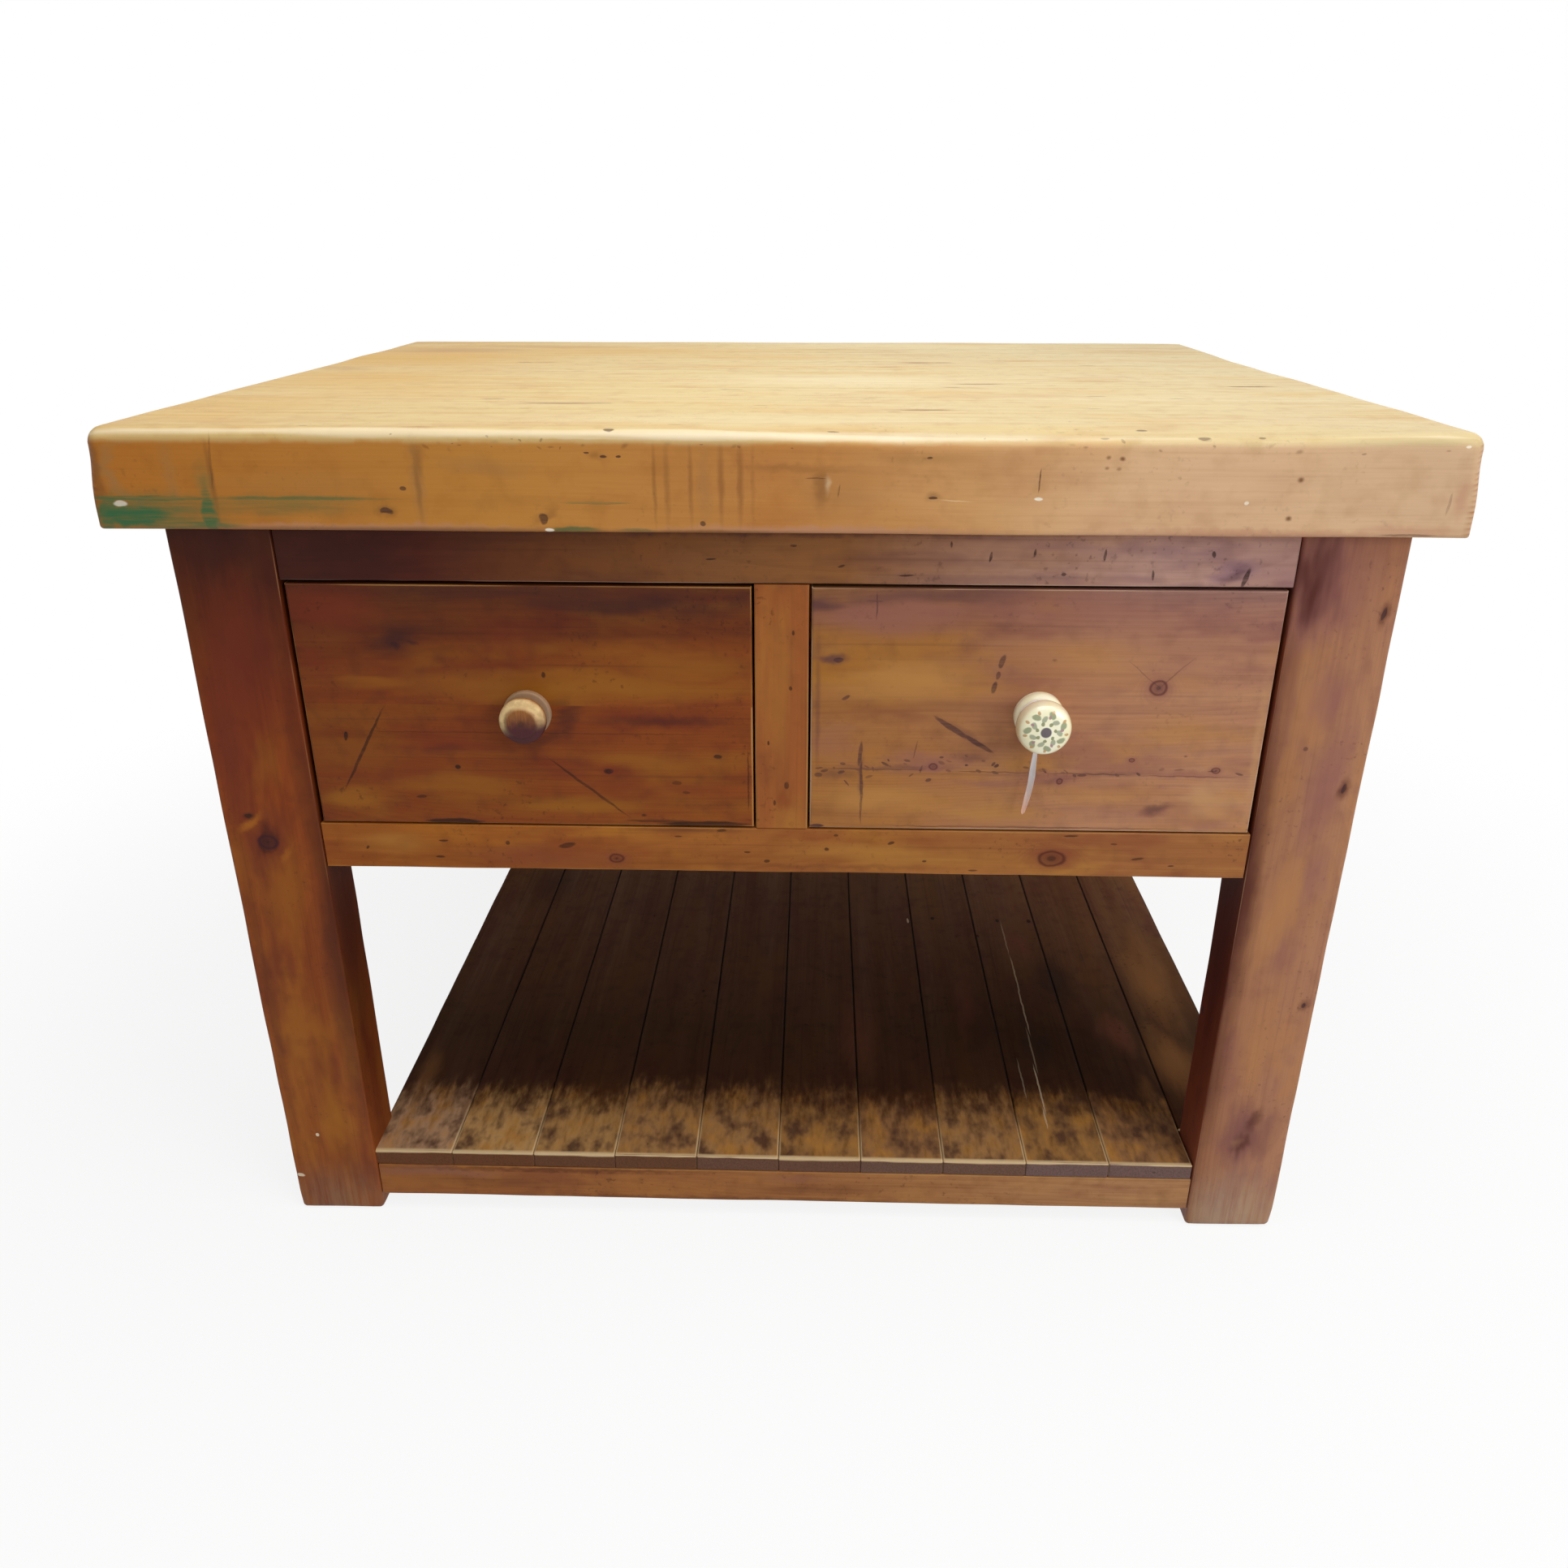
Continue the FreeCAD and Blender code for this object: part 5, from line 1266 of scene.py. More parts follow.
    def rails(self, left: float, right: float) -> None:
        """The front rails: a greyed one over the drawers, with a painted shadow under the worktop, a dented
        golden one under them, a dull one below.

        Args:
            left: their left end.
            right: their right end.
        """
        marks = spots(
            scratch=((x, z, size, wide, turn, 0.8) for x, z, size, wide, turn in (
                (196, 786, 6, 1.6, 85), (236, 790, 5, 1.5, 80), (120, 768, 9, 1.2, 4), (300, 788, 7, 1.5, 85),
                (398, 790, 4, 2, 100), (60, 776, 4, 1.4, 10), (430, 768, 12, 3, 75), (-60, 782, 6, 1.2, 0),
                (160, 797, 4, 1.3, 90), (345, 770, 6, 1.6, 95), (264, 770, 3, 2, 0), (16, 795, 4, 1.2, 0))),
            plum=((424, 772, 34, 16, 0, 0.9),), dusk=((428, 770, 16, 12, 0, 0.5), (0, 808, 470, 7, 0, 0.6)),
            shade=((200, 765, 160, 8, 0, 0.5),))
        # Painted shadow of the worktop's overhang: the dusk band along the rail's top edge, and the tint, near
        # black at the left and pale to the right where the light falls.
        tint = Tint(0, ((-465, "#5C3222"), (-330, "#6E3C28"), (60, "#C8A666"), (345, "#FFFBF0"),
                        (475, "#F2E8E4")))
        self.rail("front_top_rail", left, right, "-x+x+z", RAIL_PINE, 41, marks=marks, tints=(tint,))
        marks = spots(
            scratch=((x, z, size, wide, turn, 0.75) for x, z, size, wide, turn in (
                (-214, 485, 11, 3.4, 12), (-56, 504, 6, 2, 0), (-275, 487, 3, 3, 0), (-341, 489, 6, 1.4, 0),
                (-346, 470, 6, 1.6, 0), (51, 484, 3, 2.4, 0), (116, 492, 5, 2, 20), (60, 500, 3, 2, 0),
                (365, 478, 8, 1.8, 5), (400, 470, 4, 1.2, 0), (-420, 480, 3, 1.6, 60), (340, 494, 4, 1.4, 0),
                (200, 462, 6, 1.3, 0), (296, 503, 9, 1.2, 0), (-10, 470, 4, 2.4, 0), (150, 472, 3, 1.6, 0),
                (-30, 480, 4, 1.5, 0), (-100, 497, 5, 1.2, 0))),
            plum=((-240, 470, 120, 16, 0, 0.6), (282, 478, 34, 16, 0, 0.7)),
            gold=((120, 478, 160, 16, 0, 0.6), (-400, 482, 70, 22, 0, 0.5)),
            shade=((-90, 504, 90, 4, 0, 0.7), (60, 464, 180, 5, 0, 0.4)))
        # The tints below darken the rails to the left: partly the wood's tone, partly painted shade away from
        # the light on the right.
        self.rail("front_bottom_rail", left, right, "-x+x", WAXED_PINE, 42, marks=marks,
                  knots=(Knot(279, 477, 14, 9), Knot(-164, 471, 9, 6, 0.9)),
                  tints=(Tint(0, ((-300, "#FCE2A0"), (100, "#FFF6D4"), (350, "#FFFFFF"))),))
        marks = spots(plum=((-400, 58, 100, 12, 0, 0.9), (20, 56, 60, 10, 0, 0.6)),
                      dusk=((-260, 62, 280, 5, 0, 0.5), (-60, 24, 420, 5, 0, 0.4)),
                      shade=((-330, 46, 120, 12, 0, 0.5), (60, 40, 90, 12, 0, 0.5)))
        self.rail("lower_front_rail", left, right, "-x+x", LOWER_PINE, 44, marks=marks,
                  tints=(Tint(0, ((-350, "#E6C49E"), (50, "#EED8BC"), (400, "#FFFFFF"))),))

    def build(self) -> None:
        """Makes the legs and what joins them."""
        self.legs()
        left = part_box("front_left_leg")[1][0] + self.joint
        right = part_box("front_right_leg")[0][0] - self.joint
        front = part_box("front_left_leg")[1][1] + self.joint
        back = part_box("back_left_leg")[0][1] - self.joint
        top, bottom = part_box("front_top_rail")[0][2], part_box("front_bottom_rail")[1][2]
        self.rails(left, right)
        stile = self.between("centre_stile", (None, None, bottom + self.joint),
                             (None, None, top - self.joint), "-z+z")
        marks = spots(
            scratch=((x, z, size, wide, 90, 0.8) for x, z, size, wide in (
                (13, 657, 3, 2), (10, 555, 5, 3), (-8, 600, 3, 1.4), (16, 712, 3, 1.6), (-2, 536, 4, 1.6))),
            plum=((8, 552, 24, 12, 90, 0.7),), gold=((0, 640, 90, 20, 90, 0.5),))
        self.timber("centre_stile", stile, Grain.ALONG_Z, STILE_PINE, 43, marks=marks, plain_axes="z")
        for seed, (node, long, joint) in enumerate((("left_side_panel", 1, 640), ("right_side_panel", 1, 622),
                                                    ("back_panel", 0, 631), ("lower_outer_rail", 1, None),
                                                    ("lower_back_rail", 0, None)), 45):
            low = (left, None, None) if long == 0 else (None, front, None)
            high = (right, None, None) if long == 0 else (None, back, None)
            square = "-x+x" if long == 0 else "-y+y"
            grain = Grain.ALONG_X_UPRIGHT if long == 0 else Grain.ALONG_Y_UPRIGHT
            finish = RIGHT_PINE if node.startswith("right") else WAXED_PINE
            if joint:
                finish = replace(finish, name=f"calm_{finish.name}", clouds=0.3)
            self.timber(node, self.between(node, low, high, square + ("+z" if joint else "")), grain,
                        finish, seed, plain_axes="xy"[long], joint=joint)


# ---------------------------------------------------------------- the shelf


@dataclass
class Shelf:
    """The low shelf: boards from front to back over bearers, stained dark and bright along the front, partly
    rubbed and partly painted light.
    """
    arris: float = 2.0 * MM
    tongue: float = 5.0 * MM
    count: int = 11
    rubbed: float = 90 * MM
    ends: tuple[str, ...] = ("#6E4630", "#6C4834", "#6E4E40", "#705448", "#745C58", "#7C6668")
    glows: tuple[str, ...] = ("#A07A46", "#986E40", "#A0764A", "#946A44")
    left_glows: tuple[str, ...] = ("#B08A68", "#B88E5A", "#AC8250")

    def marks(self) -> tuple[Mark, ...]:
        """A long pale scratch, a white dash, and golden and red areas on the right.

        Returns:
            The marks.
        """
        return spots(
            Side.TOP,
            chalk=(*((x, y, size, 1.4, 90, amount) for x, y, size, amount in (
                (328, 40, 60, 0.25), (329, -60, 60, 0.4), (328, -150, 70, 0.5), (325, -240, 60, 0.3),
                (322, -320, 60, 0.5), (320, -376, 24, 0.4), (303, -300, 50, 0.2))), (185, 87, 9, 2, 90, 0.9)),
            gold=((520, -60, 170, 50, 90, 0.9), (500, -260, 120, 40, 90, 0.8), (452, -320, 60, 20, 90, 0.5),
                  (560, 250, 150, 30, 90, 0.6), (-450, -300, 90, 16, 90, 0.5)),
            plum=((345, 20, 60, 24, 90, 0.8), (250, -120, 110, 26, 90, 0.5), (440, -200, 60, 30, 90, 0.7),
                  (100, -200, 120, 40, 90, 0.4), (-60, 120, 120, 40, 90, 0.3)),
            dusk=((380, -80, 90, 40, 90, 0.7), (-380, 200, 120, 60, 90, 0.4), (330, -230, 70, 24, 90, 0.5),
                  (450, -370, 60, 30, 90, 0.5)))

    def build(self) -> None:
        """Makes the boards, without their hidden tongues, and dresses each as its own."""
        marks = self.marks()
        # Painted reflection: paler and grey-blue towards the back, a sheen over the dark stain; darker and
        # browner towards the front.
        tints = (Tint(1, ((-455, "#A08C78"), (-345, "#94806E"), (-320, "#887C7A"), (-200, "#92908C"),
                          (100, "#E0DEEA"), (300, "#FCFCFF"))),)
        for number in range(1, self.count + 1):
            node = f"shelf_board_{number:02d}"
            low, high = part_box(node)
            low = (low[0] + (self.tongue if number > 1 else 0.0), low[1], low[2])
            shape = Timber(low, high, self.arris, 10 * MM, "", 0.4 * MM, seed=60 + number)
            piece = new_piece(f"worn_{node}", *shape.shape(), TABLE, "stained_pine", (node,))
            here = tuple(m for m in marks if low[0] - m.wide * MM < m.first * MM < high[0] + m.wide * MM)
            drawn = self.glows[int(np.random.default_rng(number).integers(len(self.glows)))]
            glow = self.left_glows[number - 1] if number <= len(self.left_glows) else drawn
            board(piece, replace(STAINED_PINE, glow=glow),
                  Cut(Grain.ALONG_Y, tuple(low), tuple(high), 61 + number, here, tints=tints, plain_axes="x",
                      pith=(0.01 * (number % 4), -0.06), rubbed=self.rubbed if number < self.count else 0.0,
                      end=self.ends[(number - 1) * len(self.ends) // self.count]))


# ---------------------------------------------------------------- drawers and knobs


@dataclass
class Drawers:
    """The two drawers' fronts and boxes, which keep their CAD shapes."""

    def left_front(self) -> dict[str, object]:
        """The left front: darker above in painted shade under the top rail, golden over its glue joint,
        red-brown under it, two long scratches, and a painted shadow of its knob.

        Returns:
            The facts of its cut.
        """
        marks = spots(
            scratch=((-409, 589, 62, 2.0, 60.4, 0.75), (-187.5, 550, 60, 1.8, -39.4, 0.7),
                     (-425, 603, 6, 2.6, 80), (-317, 571, 4, 3, 0, 0.9), (-357, 538, 7, 2, 0, 0.7),
                     (-168, 568, 5, 3.6, 0, 0.8), (-58, 585, 5, 3, 0, 0.8), (-99, 556, 6, 3, 0, 0.6),
                     (-224, 668, 2.4, 4, 0, 0.8), (-326, 511, 36, 4, 0, 0.9), (-72, 511, 56, 4.4, 0, 0.9),
                     (-120, 514, 40, 2, 0, 0.6), (-242, 608, 225, 0.7, 0, 0.4), (-90, 546, 5, 2, 0, 0.5),
                     (-28, 560, 40, 1.2, 90, 0.6)),
            # Of the dusk marks, the long bands near the top, from z 728 up, are painted shade under the top
            # rail, and those at (-214, 622) and (-232, 604) are the painted shadow of the knob.
            dusk=((-362, 699, 44, 26, 0, 0.85), (-365, 697, 15, 9.5), (-350, 700, 16, 6, 0, 0.8),
                  (-150, 740, 130, 18, 0, 0.7), (-80, 728, 60, 16, 0, 0.5), (-250, 748, 220, 12, 0, 0.5),
                  (-110, 622, 95, 9, 0, 0.55), (-214, 622, 36, 24, 70, 0.6), (-232, 604, 30, 14, 20, 0.5),
                  (-340, 590, 22, 12, 0, 0.3), (-360, 712, 90, 12, 0, 0.3)),
            plum=((-110, 624, 100, 15, 0, 0.8), (-420, 730, 60, 40, 0, 0.7), (-250, 700, 50, 24, 0, 0.4),
                  (-340, 596, 60, 20, 0, 0.6), (-95, 550, 60, 14, 0, 0.6), (-380, 560, 60, 24, 0, 0.4),
                  (-450, 690, 60, 14, 90, 0.5)),
            gold=((-200, 656, 260, 20, 0, 0.8), (-100, 680, 110, 26, 0, 0.6), (-380, 655, 100, 12, 0, 0.5),
                  (-220, 528, 110, 18, 0, 0.8), (-120, 578, 90, 12, 0, 0.5), (-420, 535, 60, 26, 0, 0.8),
                  (-330, 550, 90, 18, 0, 0.6)))
        # Painted shade: darker and bluer towards the top, under the top rail, and darker towards the left, away
        # from the light.
        tints = (Tint(2, ((509, "#FFFFFF"), (635, "#F6F0F0"), (638, "#FFFFFF"), (690, "#EEEAF0"),
                          (715, "#CCC8DC"), (756, "#B4BAEC"))),
                 Tint(0, ((-450, "#E4D6E6"), (-330, "#F2EAF0"), (-150, "#FFFFFF"))))
        return {"marks": marks, "knots": (Knot(-166, 568, 6, 4, 0.7),), "tints": tints, "joint": 637.0}

    def crack(self) -> list[tuple[float, ...]]:
        """Rows of small ragged splits drawn along a line that falls to the right, crowded at its left end.

        Returns:
            A row for each split, as a mark has it.
        """
        draw = np.random.default_rng(3)
        rows = []
        for x in np.concatenate([np.arange(36, 225, 6.0), np.arange(240, 300, 9.0),
                                 np.arange(305, 472, 24.0)]):
            spread = 12.0 if x < 225 else 4.0
            rows.append((float(x + draw.uniform(-7, 7)),
                         576 - 5 * (x - 33) / 441 + float(draw.normal(0, 0.5 * spread)),
                         float(draw.uniform(1.5, 6)), float(draw.uniform(0.8, 2.2)),
                         float(draw.normal(0, 30)), float(draw.uniform(0.3, 0.85))))
        return rows

    def right_front(self) -> dict[str, object]:
        """The right front: greyed above in painted shade under the top rail, golden in the middle, paler to the
        right in painted light, a crack on the grain.

        Returns:
            The facts of its cut.
        """
        marks = spots(
            # The long scratch along the bottom edge at (244, 512) is a painted shadow.
            scratch=((170, 618, 26, 3.6, -34, 0.75), (196, 602, 22, 3.2, -31, 0.8),
                     (214, 686, 9, 3.4, 75, 0.7), (211, 672, 5, 2.6, 80, 0.7), (208, 660, 8, 3, 80, 0.8),
                     (82, 590, 16, 2.6, 85, 0.7), (84, 560, 30, 2.2, 92, 0.7), (84, 530, 20, 1.4, 90, 0.5),
                     (67, 648, 6, 2.2, 30, 0.7), (59, 686, 6, 3, 0, 0.9), (136, 595, 12, 0.8, 80, 0.5),
                     (94, 739, 16, 1.2, 90, 0.5), (92, 744, 10, 1.0, 0, 0.4), (41, 567, 5, 3, 0, 0.8),
                     (40, 511, 9, 2.4, 0, 0.9), (472, 512, 5, 1.2, 0, 0.5), (244, 512, 200, 1.1, 0, 0.5),
                     *((x, z, 22, 0.6, turn, 0.35) for x, z, turn in (
                         (382, 679, 45), (347, 676, 140), (374, 670, 45), (355, 669, 140))),
                     *self.crack(),
                     *((x, z, size, 0.8, -0.5, 0.5) for x, z, size in (
                         (95, 573.5, 60), (215, 572, 50), (305, 571, 55), (410, 569.5, 60)))),
            # The dusk at (150, 748) and the plum at (250, 740), along the top, are painted shade under the top
            # rail, and the dusk line at x 40 along the left edge a painted shadow by the stile.
            dusk=((61, 745, 36, 13, 0, 0.85), (53, 687, 22, 7, 0, 0.8), (150, 748, 110, 13, 0, 0.55),
                  (182, 612, 40, 7, -33, 0.35), (154, 577, 12, 8, 0, 0.5), (279, 565, 16, 13, 0, 0.4),
                  (377, 534, 24, 8, 20, 0.7), (83, 570, 36, 5, 90, 0.4), (40, 640, 110, 4, 90, 0.4),
                  (120, 575, 90, 5, 0, 0.45), (60, 568, 26, 9, 0, 0.45), (190, 588, 26, 8, 0, 0.45),
                  (330, 571, 60, 3.5, 0, 0.45)),
            plum=((110, 730, 90, 34, 0, 0.8), (250, 740, 160, 24, 0, 0.5), (230, 660, 50, 50, 0, 0.35),
                  (154, 582, 60, 14, 0, 0.7), (60, 600, 40, 36, 0, 0.4), (300, 600, 60, 16, 0, 0.35),
                  (270, 570, 40, 16, 0, 0.6), (400, 572, 60, 7, 0, 0.6), (210, 560, 60, 6, 0, 0.5)),
            gold=((120, 665, 90, 30, 0, 0.8), (110, 540, 80, 22, 0, 0.7), (200, 530, 90, 18, 0, 0.6),
                  (330, 550, 90, 18, 0, 0.4), (300, 690, 80, 30, 0, 0.4), (390, 620, 70, 20, 0, 0.3)),
            glow=((440, 545, 34, 26, 0, 0.6), (466, 600, 120, 7, 90, 0.5)))
        knots = (Knot(364, 661, 9, 8, 0.95), Knot(430, 576, 5, 3.4, 0.9), Knot(347, 586, 4, 3, 0.8),
                 Knot(154, 577, 6, 5, 0.8), Knot(279, 563, 5, 5, 0.7))
        # Painted light and shade: paler towards the right, where the light falls, and greyer and bluer towards
        # the top, under the top rail.
        tints = (Tint(0, ((40, "#EADA9C"), (150, "#ECDFB8"), (310, "#FCFAF4"), (470, "#FFFFFF"))),
                 Tint(2, ((509, "#FFFFFF"), (640, "#FBFAFA"), (700, "#F4F2FA"), (735, "#E2DFFA"),
                          (756, "#D2D6FF"))))
        return {"marks": marks, "knots": knots, "tints": tints, "joint": 572.0}

    def build(self) -> None:
        """Dresses the fronts in wax; the boxes get planed wood with the other insides."""
        for body, seed, facts, finish in ((LEFT_DRAWER, 51, self.left_front(), LEFT_DRAWER_PINE),
                                          (RIGHT_DRAWER, 52, self.right_front(), RIGHT_DRAWER_PINE)):
            node = f"{body}_front"
            low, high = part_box(node)
            board(FRAME["nodes"][node], finish,
                  Cut(Grain.ALONG_X_UPRIGHT, tuple(low), tuple(high), seed, pith=(0.05, 0.08), **facts))


@dataclass
class Knob:
    """What both knobs share: they are turned about a line along Y, and their materials laid out from it."""

    def turn(self, drawer: str, node: str, name: str, slot: str, steps: int) -> bpy.types.Object:
        """Turns the knob's profile where its CAD node stands on its drawer's front.

        Args:
            drawer: the drawer's body.
            node: the CAD node that it replaces.
            name: the new piece's name.
            slot: its material slot.
            steps: points round the circle.

        Returns:
            The new object.
        """
        low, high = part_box(node)
        self.centre = (0.5 * (low[0] + high[0]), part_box(f"{drawer}_front")[0][1], 0.5 * (low[2] + high[2]))
        return new_piece(name, *turned(self.profile(), self.centre, steps), drawer, slot, (node,), crease=60)

    def places(self, g: Graph) -> tuple[Socket, ...]:
        """The coordinates that a knob's material is laid out in.

        Args:
            g: the material's graph.

        Returns:
            The place, the offset from the base's middle, its three parts, and the distance from the line.
        """
        place = g.add("TexCoord", out="Object")
        offset = g.add("VectorMath.SUBTRACT", place, self.centre)
        x, y, z = g.add("SeparateXYZ", offset).node.outputs
        radial = g.add("VectorMath.LENGTH", g.add("CombineXYZ", x, 0.0, z), out="Value")
        return place, offset, x, y, z, radial


@dataclass
class WoodenKnob(Knob):
    """A turned hardwood knob: collar, neck, and a head with a pale bead round its flat face."""
    collar: tuple[float, float] = (23.5 * MM, 6 * MM)
    neck: tuple[float, float] = (13 * MM, 14 * MM)
    bead: tuple[float, float, float] = (22.5 * MM, 19 * MM, 27 * MM)
    face: float = 31 * MM
    # below and above: painted shade on the knob's lower half and its lit upper half.
    below: str = "#4A1E22"
    above: str = "#9E6430"
    pores: str = "#3A1A14"
    middle: str = "#301410"
    base: str = "#A08468"
    # rubbed: the pale bead, partly rubbed wood and partly painted highlight on the lit upper left.
    rubbed: str = "#E4C48C"

    def profile(self) -> Array:
        """Distance out and reach: base, collar, neck, bead, face.

        Returns:
            Rows of distance out and reach.
        """
        (cr, ch), (nr, nh), (br, b0, b1) = self.collar, self.neck, self.bead
        return smooth_profile([
            (0.05 * MM, 0, 0), (cr, 0, 0), (cr, ch, 2.4 * MM), (nr + 2 * MM, ch + 1 * MM, 3 * MM),
            (nr, 0.5 * (ch + nh) + 1 * MM, 4 * MM), (nr + 2 * MM, nh, 3 * MM), (br, b0 - 2 * MM, 2.5 * MM),
            (br, 0.5 * (b0 + b1), 3 * MM), (br - 0.5 * MM, b1, 3.2 * MM),
            (br - 6 * MM, b1 + 1.5 * MM, 1.6 * MM), (br - 8 * MM, self.face, 2 * MM),
            (0.05 * MM, self.face, 0)])

    def build(self) -> None:
        """Turns the knob and dresses it."""
        piece = self.turn(LEFT_DRAWER, "wooden_knob", "turned_wooden_knob", "turned_wood", 96)
        self.wood().dress(piece)

    def wood(self) -> Graph:
        """Turned beech under old wax, dark at the middle of its face, with painted shade on its lower half and
        a pale bead on its upper left, partly rubbed wood and partly painted highlight.

        Returns:
            The finished graph.
        """
        g = Graph(bpy.data.materials.new("waxed_turned_beech"))
        place, offset, x, y, z, radial = self.places(g)
        rub = g.add("TexNoise", place, named={"Scale": 160.0, "Detail": 3.0})
        grain = g.add("TexNoise", g.add("VectorMath.MULTIPLY", offset, (900.0, 60.0, 60.0)),
                      named={"Scale": 1.0, "Detail": 3.0})
        uneven = g.add("Math.MULTIPLY_ADD", rub, 9 * MM, z)
        # Painted shade: the colour runs from dark at the bottom to golden at the lit top.
        height = g.add("MapRange.SMOOTHSTEP", uneven, -3 * MM, 18 * MM)
        body = g.add("MixRGB", height, self.below, self.above)
        body = g.add("MixRGB", g.add("MapRange", grain, 0.4, 0.7, 0.0, 0.4), body, self.pores)
        middle = g.add("MapRange.SMOOTHSTEP", radial, 5 * MM, 1.5 * MM, 0.0, 0.6)
        body = g.add("MixRGB", middle, body, self.middle)
        at_base = g.add("MapRange", y, -14 * MM, -6 * MM, 0.0, 0.8)
        body = g.add("MixRGB", at_base, body, self.base)
        out = g.add("MapRange.SMOOTHSTEP", radial, 12.5 * MM, 18.0 * MM)
        front = g.add("MapRange", y, -20 * MM, -24 * MM)
        # The pale bead is held to the lit upper left: partly painted highlight.
        lit_upper_left = g.add("MapRange.SMOOTHSTEP", g.add("Math.MULTIPLY_ADD", x, -0.25, z), -13 * MM, 9 * MM)
        rim = g.add("Math.MULTIPLY", g.add("Math.MULTIPLY", out, front), lit_upper_left)
        rim = g.add("Math.MULTIPLY", rim, g.add("MapRange", rub, 0.3, 0.6, 0.55, 1.0))
        colour = g.add("MixRGB", rim, body, self.rubbed)
        bump = g.add("Bump", named={"Strength": 0.4, "Distance": 0.3 * MM, "Height": grain})
        g.add("OutputMaterial", g.add("BsdfPrincipled", named={"Base Color": colour, "Roughness": 0.55,
                                                               "Specular IOR Level": 0.25, "Normal": bump}))
        return g


@dataclass(frozen=True)
class Leaves:
    """A ring of painted leaves: number, radius, a leaf's size in millimetres, its lean, start and colour."""
    count: int
    ring: float
    long: float
    wide: float
    lean: float
    start: float
    colour: str


@dataclass
class CeramicKnob(Knob):
    """A glazed knob: flange, waist and a domed head with a small painted wreath."""
    flange: tuple[float, float] = (24 * MM, 7 * MM)
    waist: tuple[float, float, float] = (20.5 * MM, 12 * MM, 18 * MM)
    head: tuple[float, float] = (26.5 * MM, 28 * MM)
    dome: float = 47 * MM
    cream: tuple[str, str] = ("#FAF6D8", "#F2E8B8")
    # rim: the tan of the painted shade round the head's edge.
    rim: str = "#DDBE8E"
    heart: str = "#4B3A48"
    wreath: tuple[Leaves, ...] = (
        Leaves(7, 17.0, 8.0, 3.6, 0.7, 0.1, "#8A946C"), Leaves(7, 12.6, 7.0, 3.0, -0.8, 0.55, "#9BA284"),
        Leaves(9, 19.6, 2.8, 2.6, 0.0, 0.7, "#C49458"), Leaves(7, 8.6, 3.4, 2.4, 0.8, 0.3, "#7E8450"),
        Leaves(5, 14.8, 2.6, 2.4, 0.0, 0.4, "#A87880"))

    def profile(self) -> Array:
        """Distance out and reach: flange, waist, head and dome.

        Returns:
            Rows of distance out and reach.
        """
        (fr, fh), (wr, w0, w1), (hr, hh) = self.flange, self.waist, self.head
        return smooth_profile([
            (0.05 * MM, 0, 0), (fr, 0, 0), (fr, fh, 3 * MM), (wr, w0, 2.5 * MM), (wr, w1, 3 * MM),
            (hr - 2 * MM, hh - 5 * MM, 4 * MM), (hr, hh + 4 * MM, 9 * MM),
            (hr - 3 * MM, self.dome - 3 * MM, 12 * MM), (0.05 * MM, self.dome, 0)])

    def build(self) -> None:
        """Turns the knob and glazes it."""
        piece = self.turn(RIGHT_DRAWER, "ceramic_knob", "glazed_painted_knob", "glazed_ceramic", 128)
        self.glaze().dress(piece)

    def glaze(self) -> Graph:
        """Thrown earthenware under a thick glossy cream glaze, with a painted wreath that it blurs a little.

        Returns:
            The finished graph.
        """
        g = Graph(bpy.data.materials.new("glazed_earthenware"))
        place, _, x, y, z, radial = self.places(g)
        cloud = g.add("TexNoise", place, named={"Scale": 55.0, "Detail": 2.0})
        colour = g.add("MixRGB", g.add("MapRange", cloud, 0.4, 0.7), *self.cream)
        # Painted shade: the glaze turns tan towards the head's edge, where the dome turns away from the light.
        edge = g.add("MapRange", radial, 22.5 * MM, 26.5 * MM, 0.0, 0.5)
        colour = g.add("MixRGB", edge, colour, self.rim)
        hand = g.add("MapRange", g.add("TexNoise", place, named={"Scale": 260.0}), 0.3, 0.7, -0.5 * MM,
                     0.5 * MM)
        angle = g.add("Math.ARCTAN2", z, x)
        front = g.add("MapRange", y, -30 * MM, -34 * MM)
        for leaves in self.wreath:
            turn = g.add("Math.MULTIPLY_ADD", angle, leaves.count / (2 * math.pi), leaves.start)
            part = g.add("Math.SUBTRACT", g.add("Math.FRACT", turn), 0.5)
            arc = g.add("Math.MULTIPLY", part, 2 * math.pi * leaves.ring / leaves.count * MM)
            rise = g.add("Math.ADD", g.add("Math.SUBTRACT", radial, leaves.ring * MM), hand)
            size = (0.6 * leaves.long * MM, 0.9 * leaves.wide * MM, 1.0)
            own = g.add("Mapping.TEXTURE", g.add("CombineXYZ", arc, rise, 0.0), None, (0.0, 0.0, leaves.lean),
                        size)
            ball = g.add("TexGradient.SPHERICAL", own, out="Fac")
            mask = g.add("Math.MULTIPLY", g.add("MapRange", ball, 0.02, 0.3, 0.0, 0.9), front)
            colour = g.add("MixRGB", mask, colour, leaves.colour)
        heart = g.add("MapRange", radial, 5.6 * MM, 4.6 * MM, 0.0, 0.95)
        colour = g.add("MixRGB", g.add("Math.MULTIPLY", heart, front), colour, self.heart)
        g.add("OutputMaterial", g.add("BsdfPrincipled", named={
            "Base Color": colour, "Roughness": 0.16, "Coat Weight": 0.5, "Coat Roughness": 0.08,
            "Subsurface Weight": 0.04, "Subsurface Radius": (0.004, 0.003, 0.002)}))
        return g


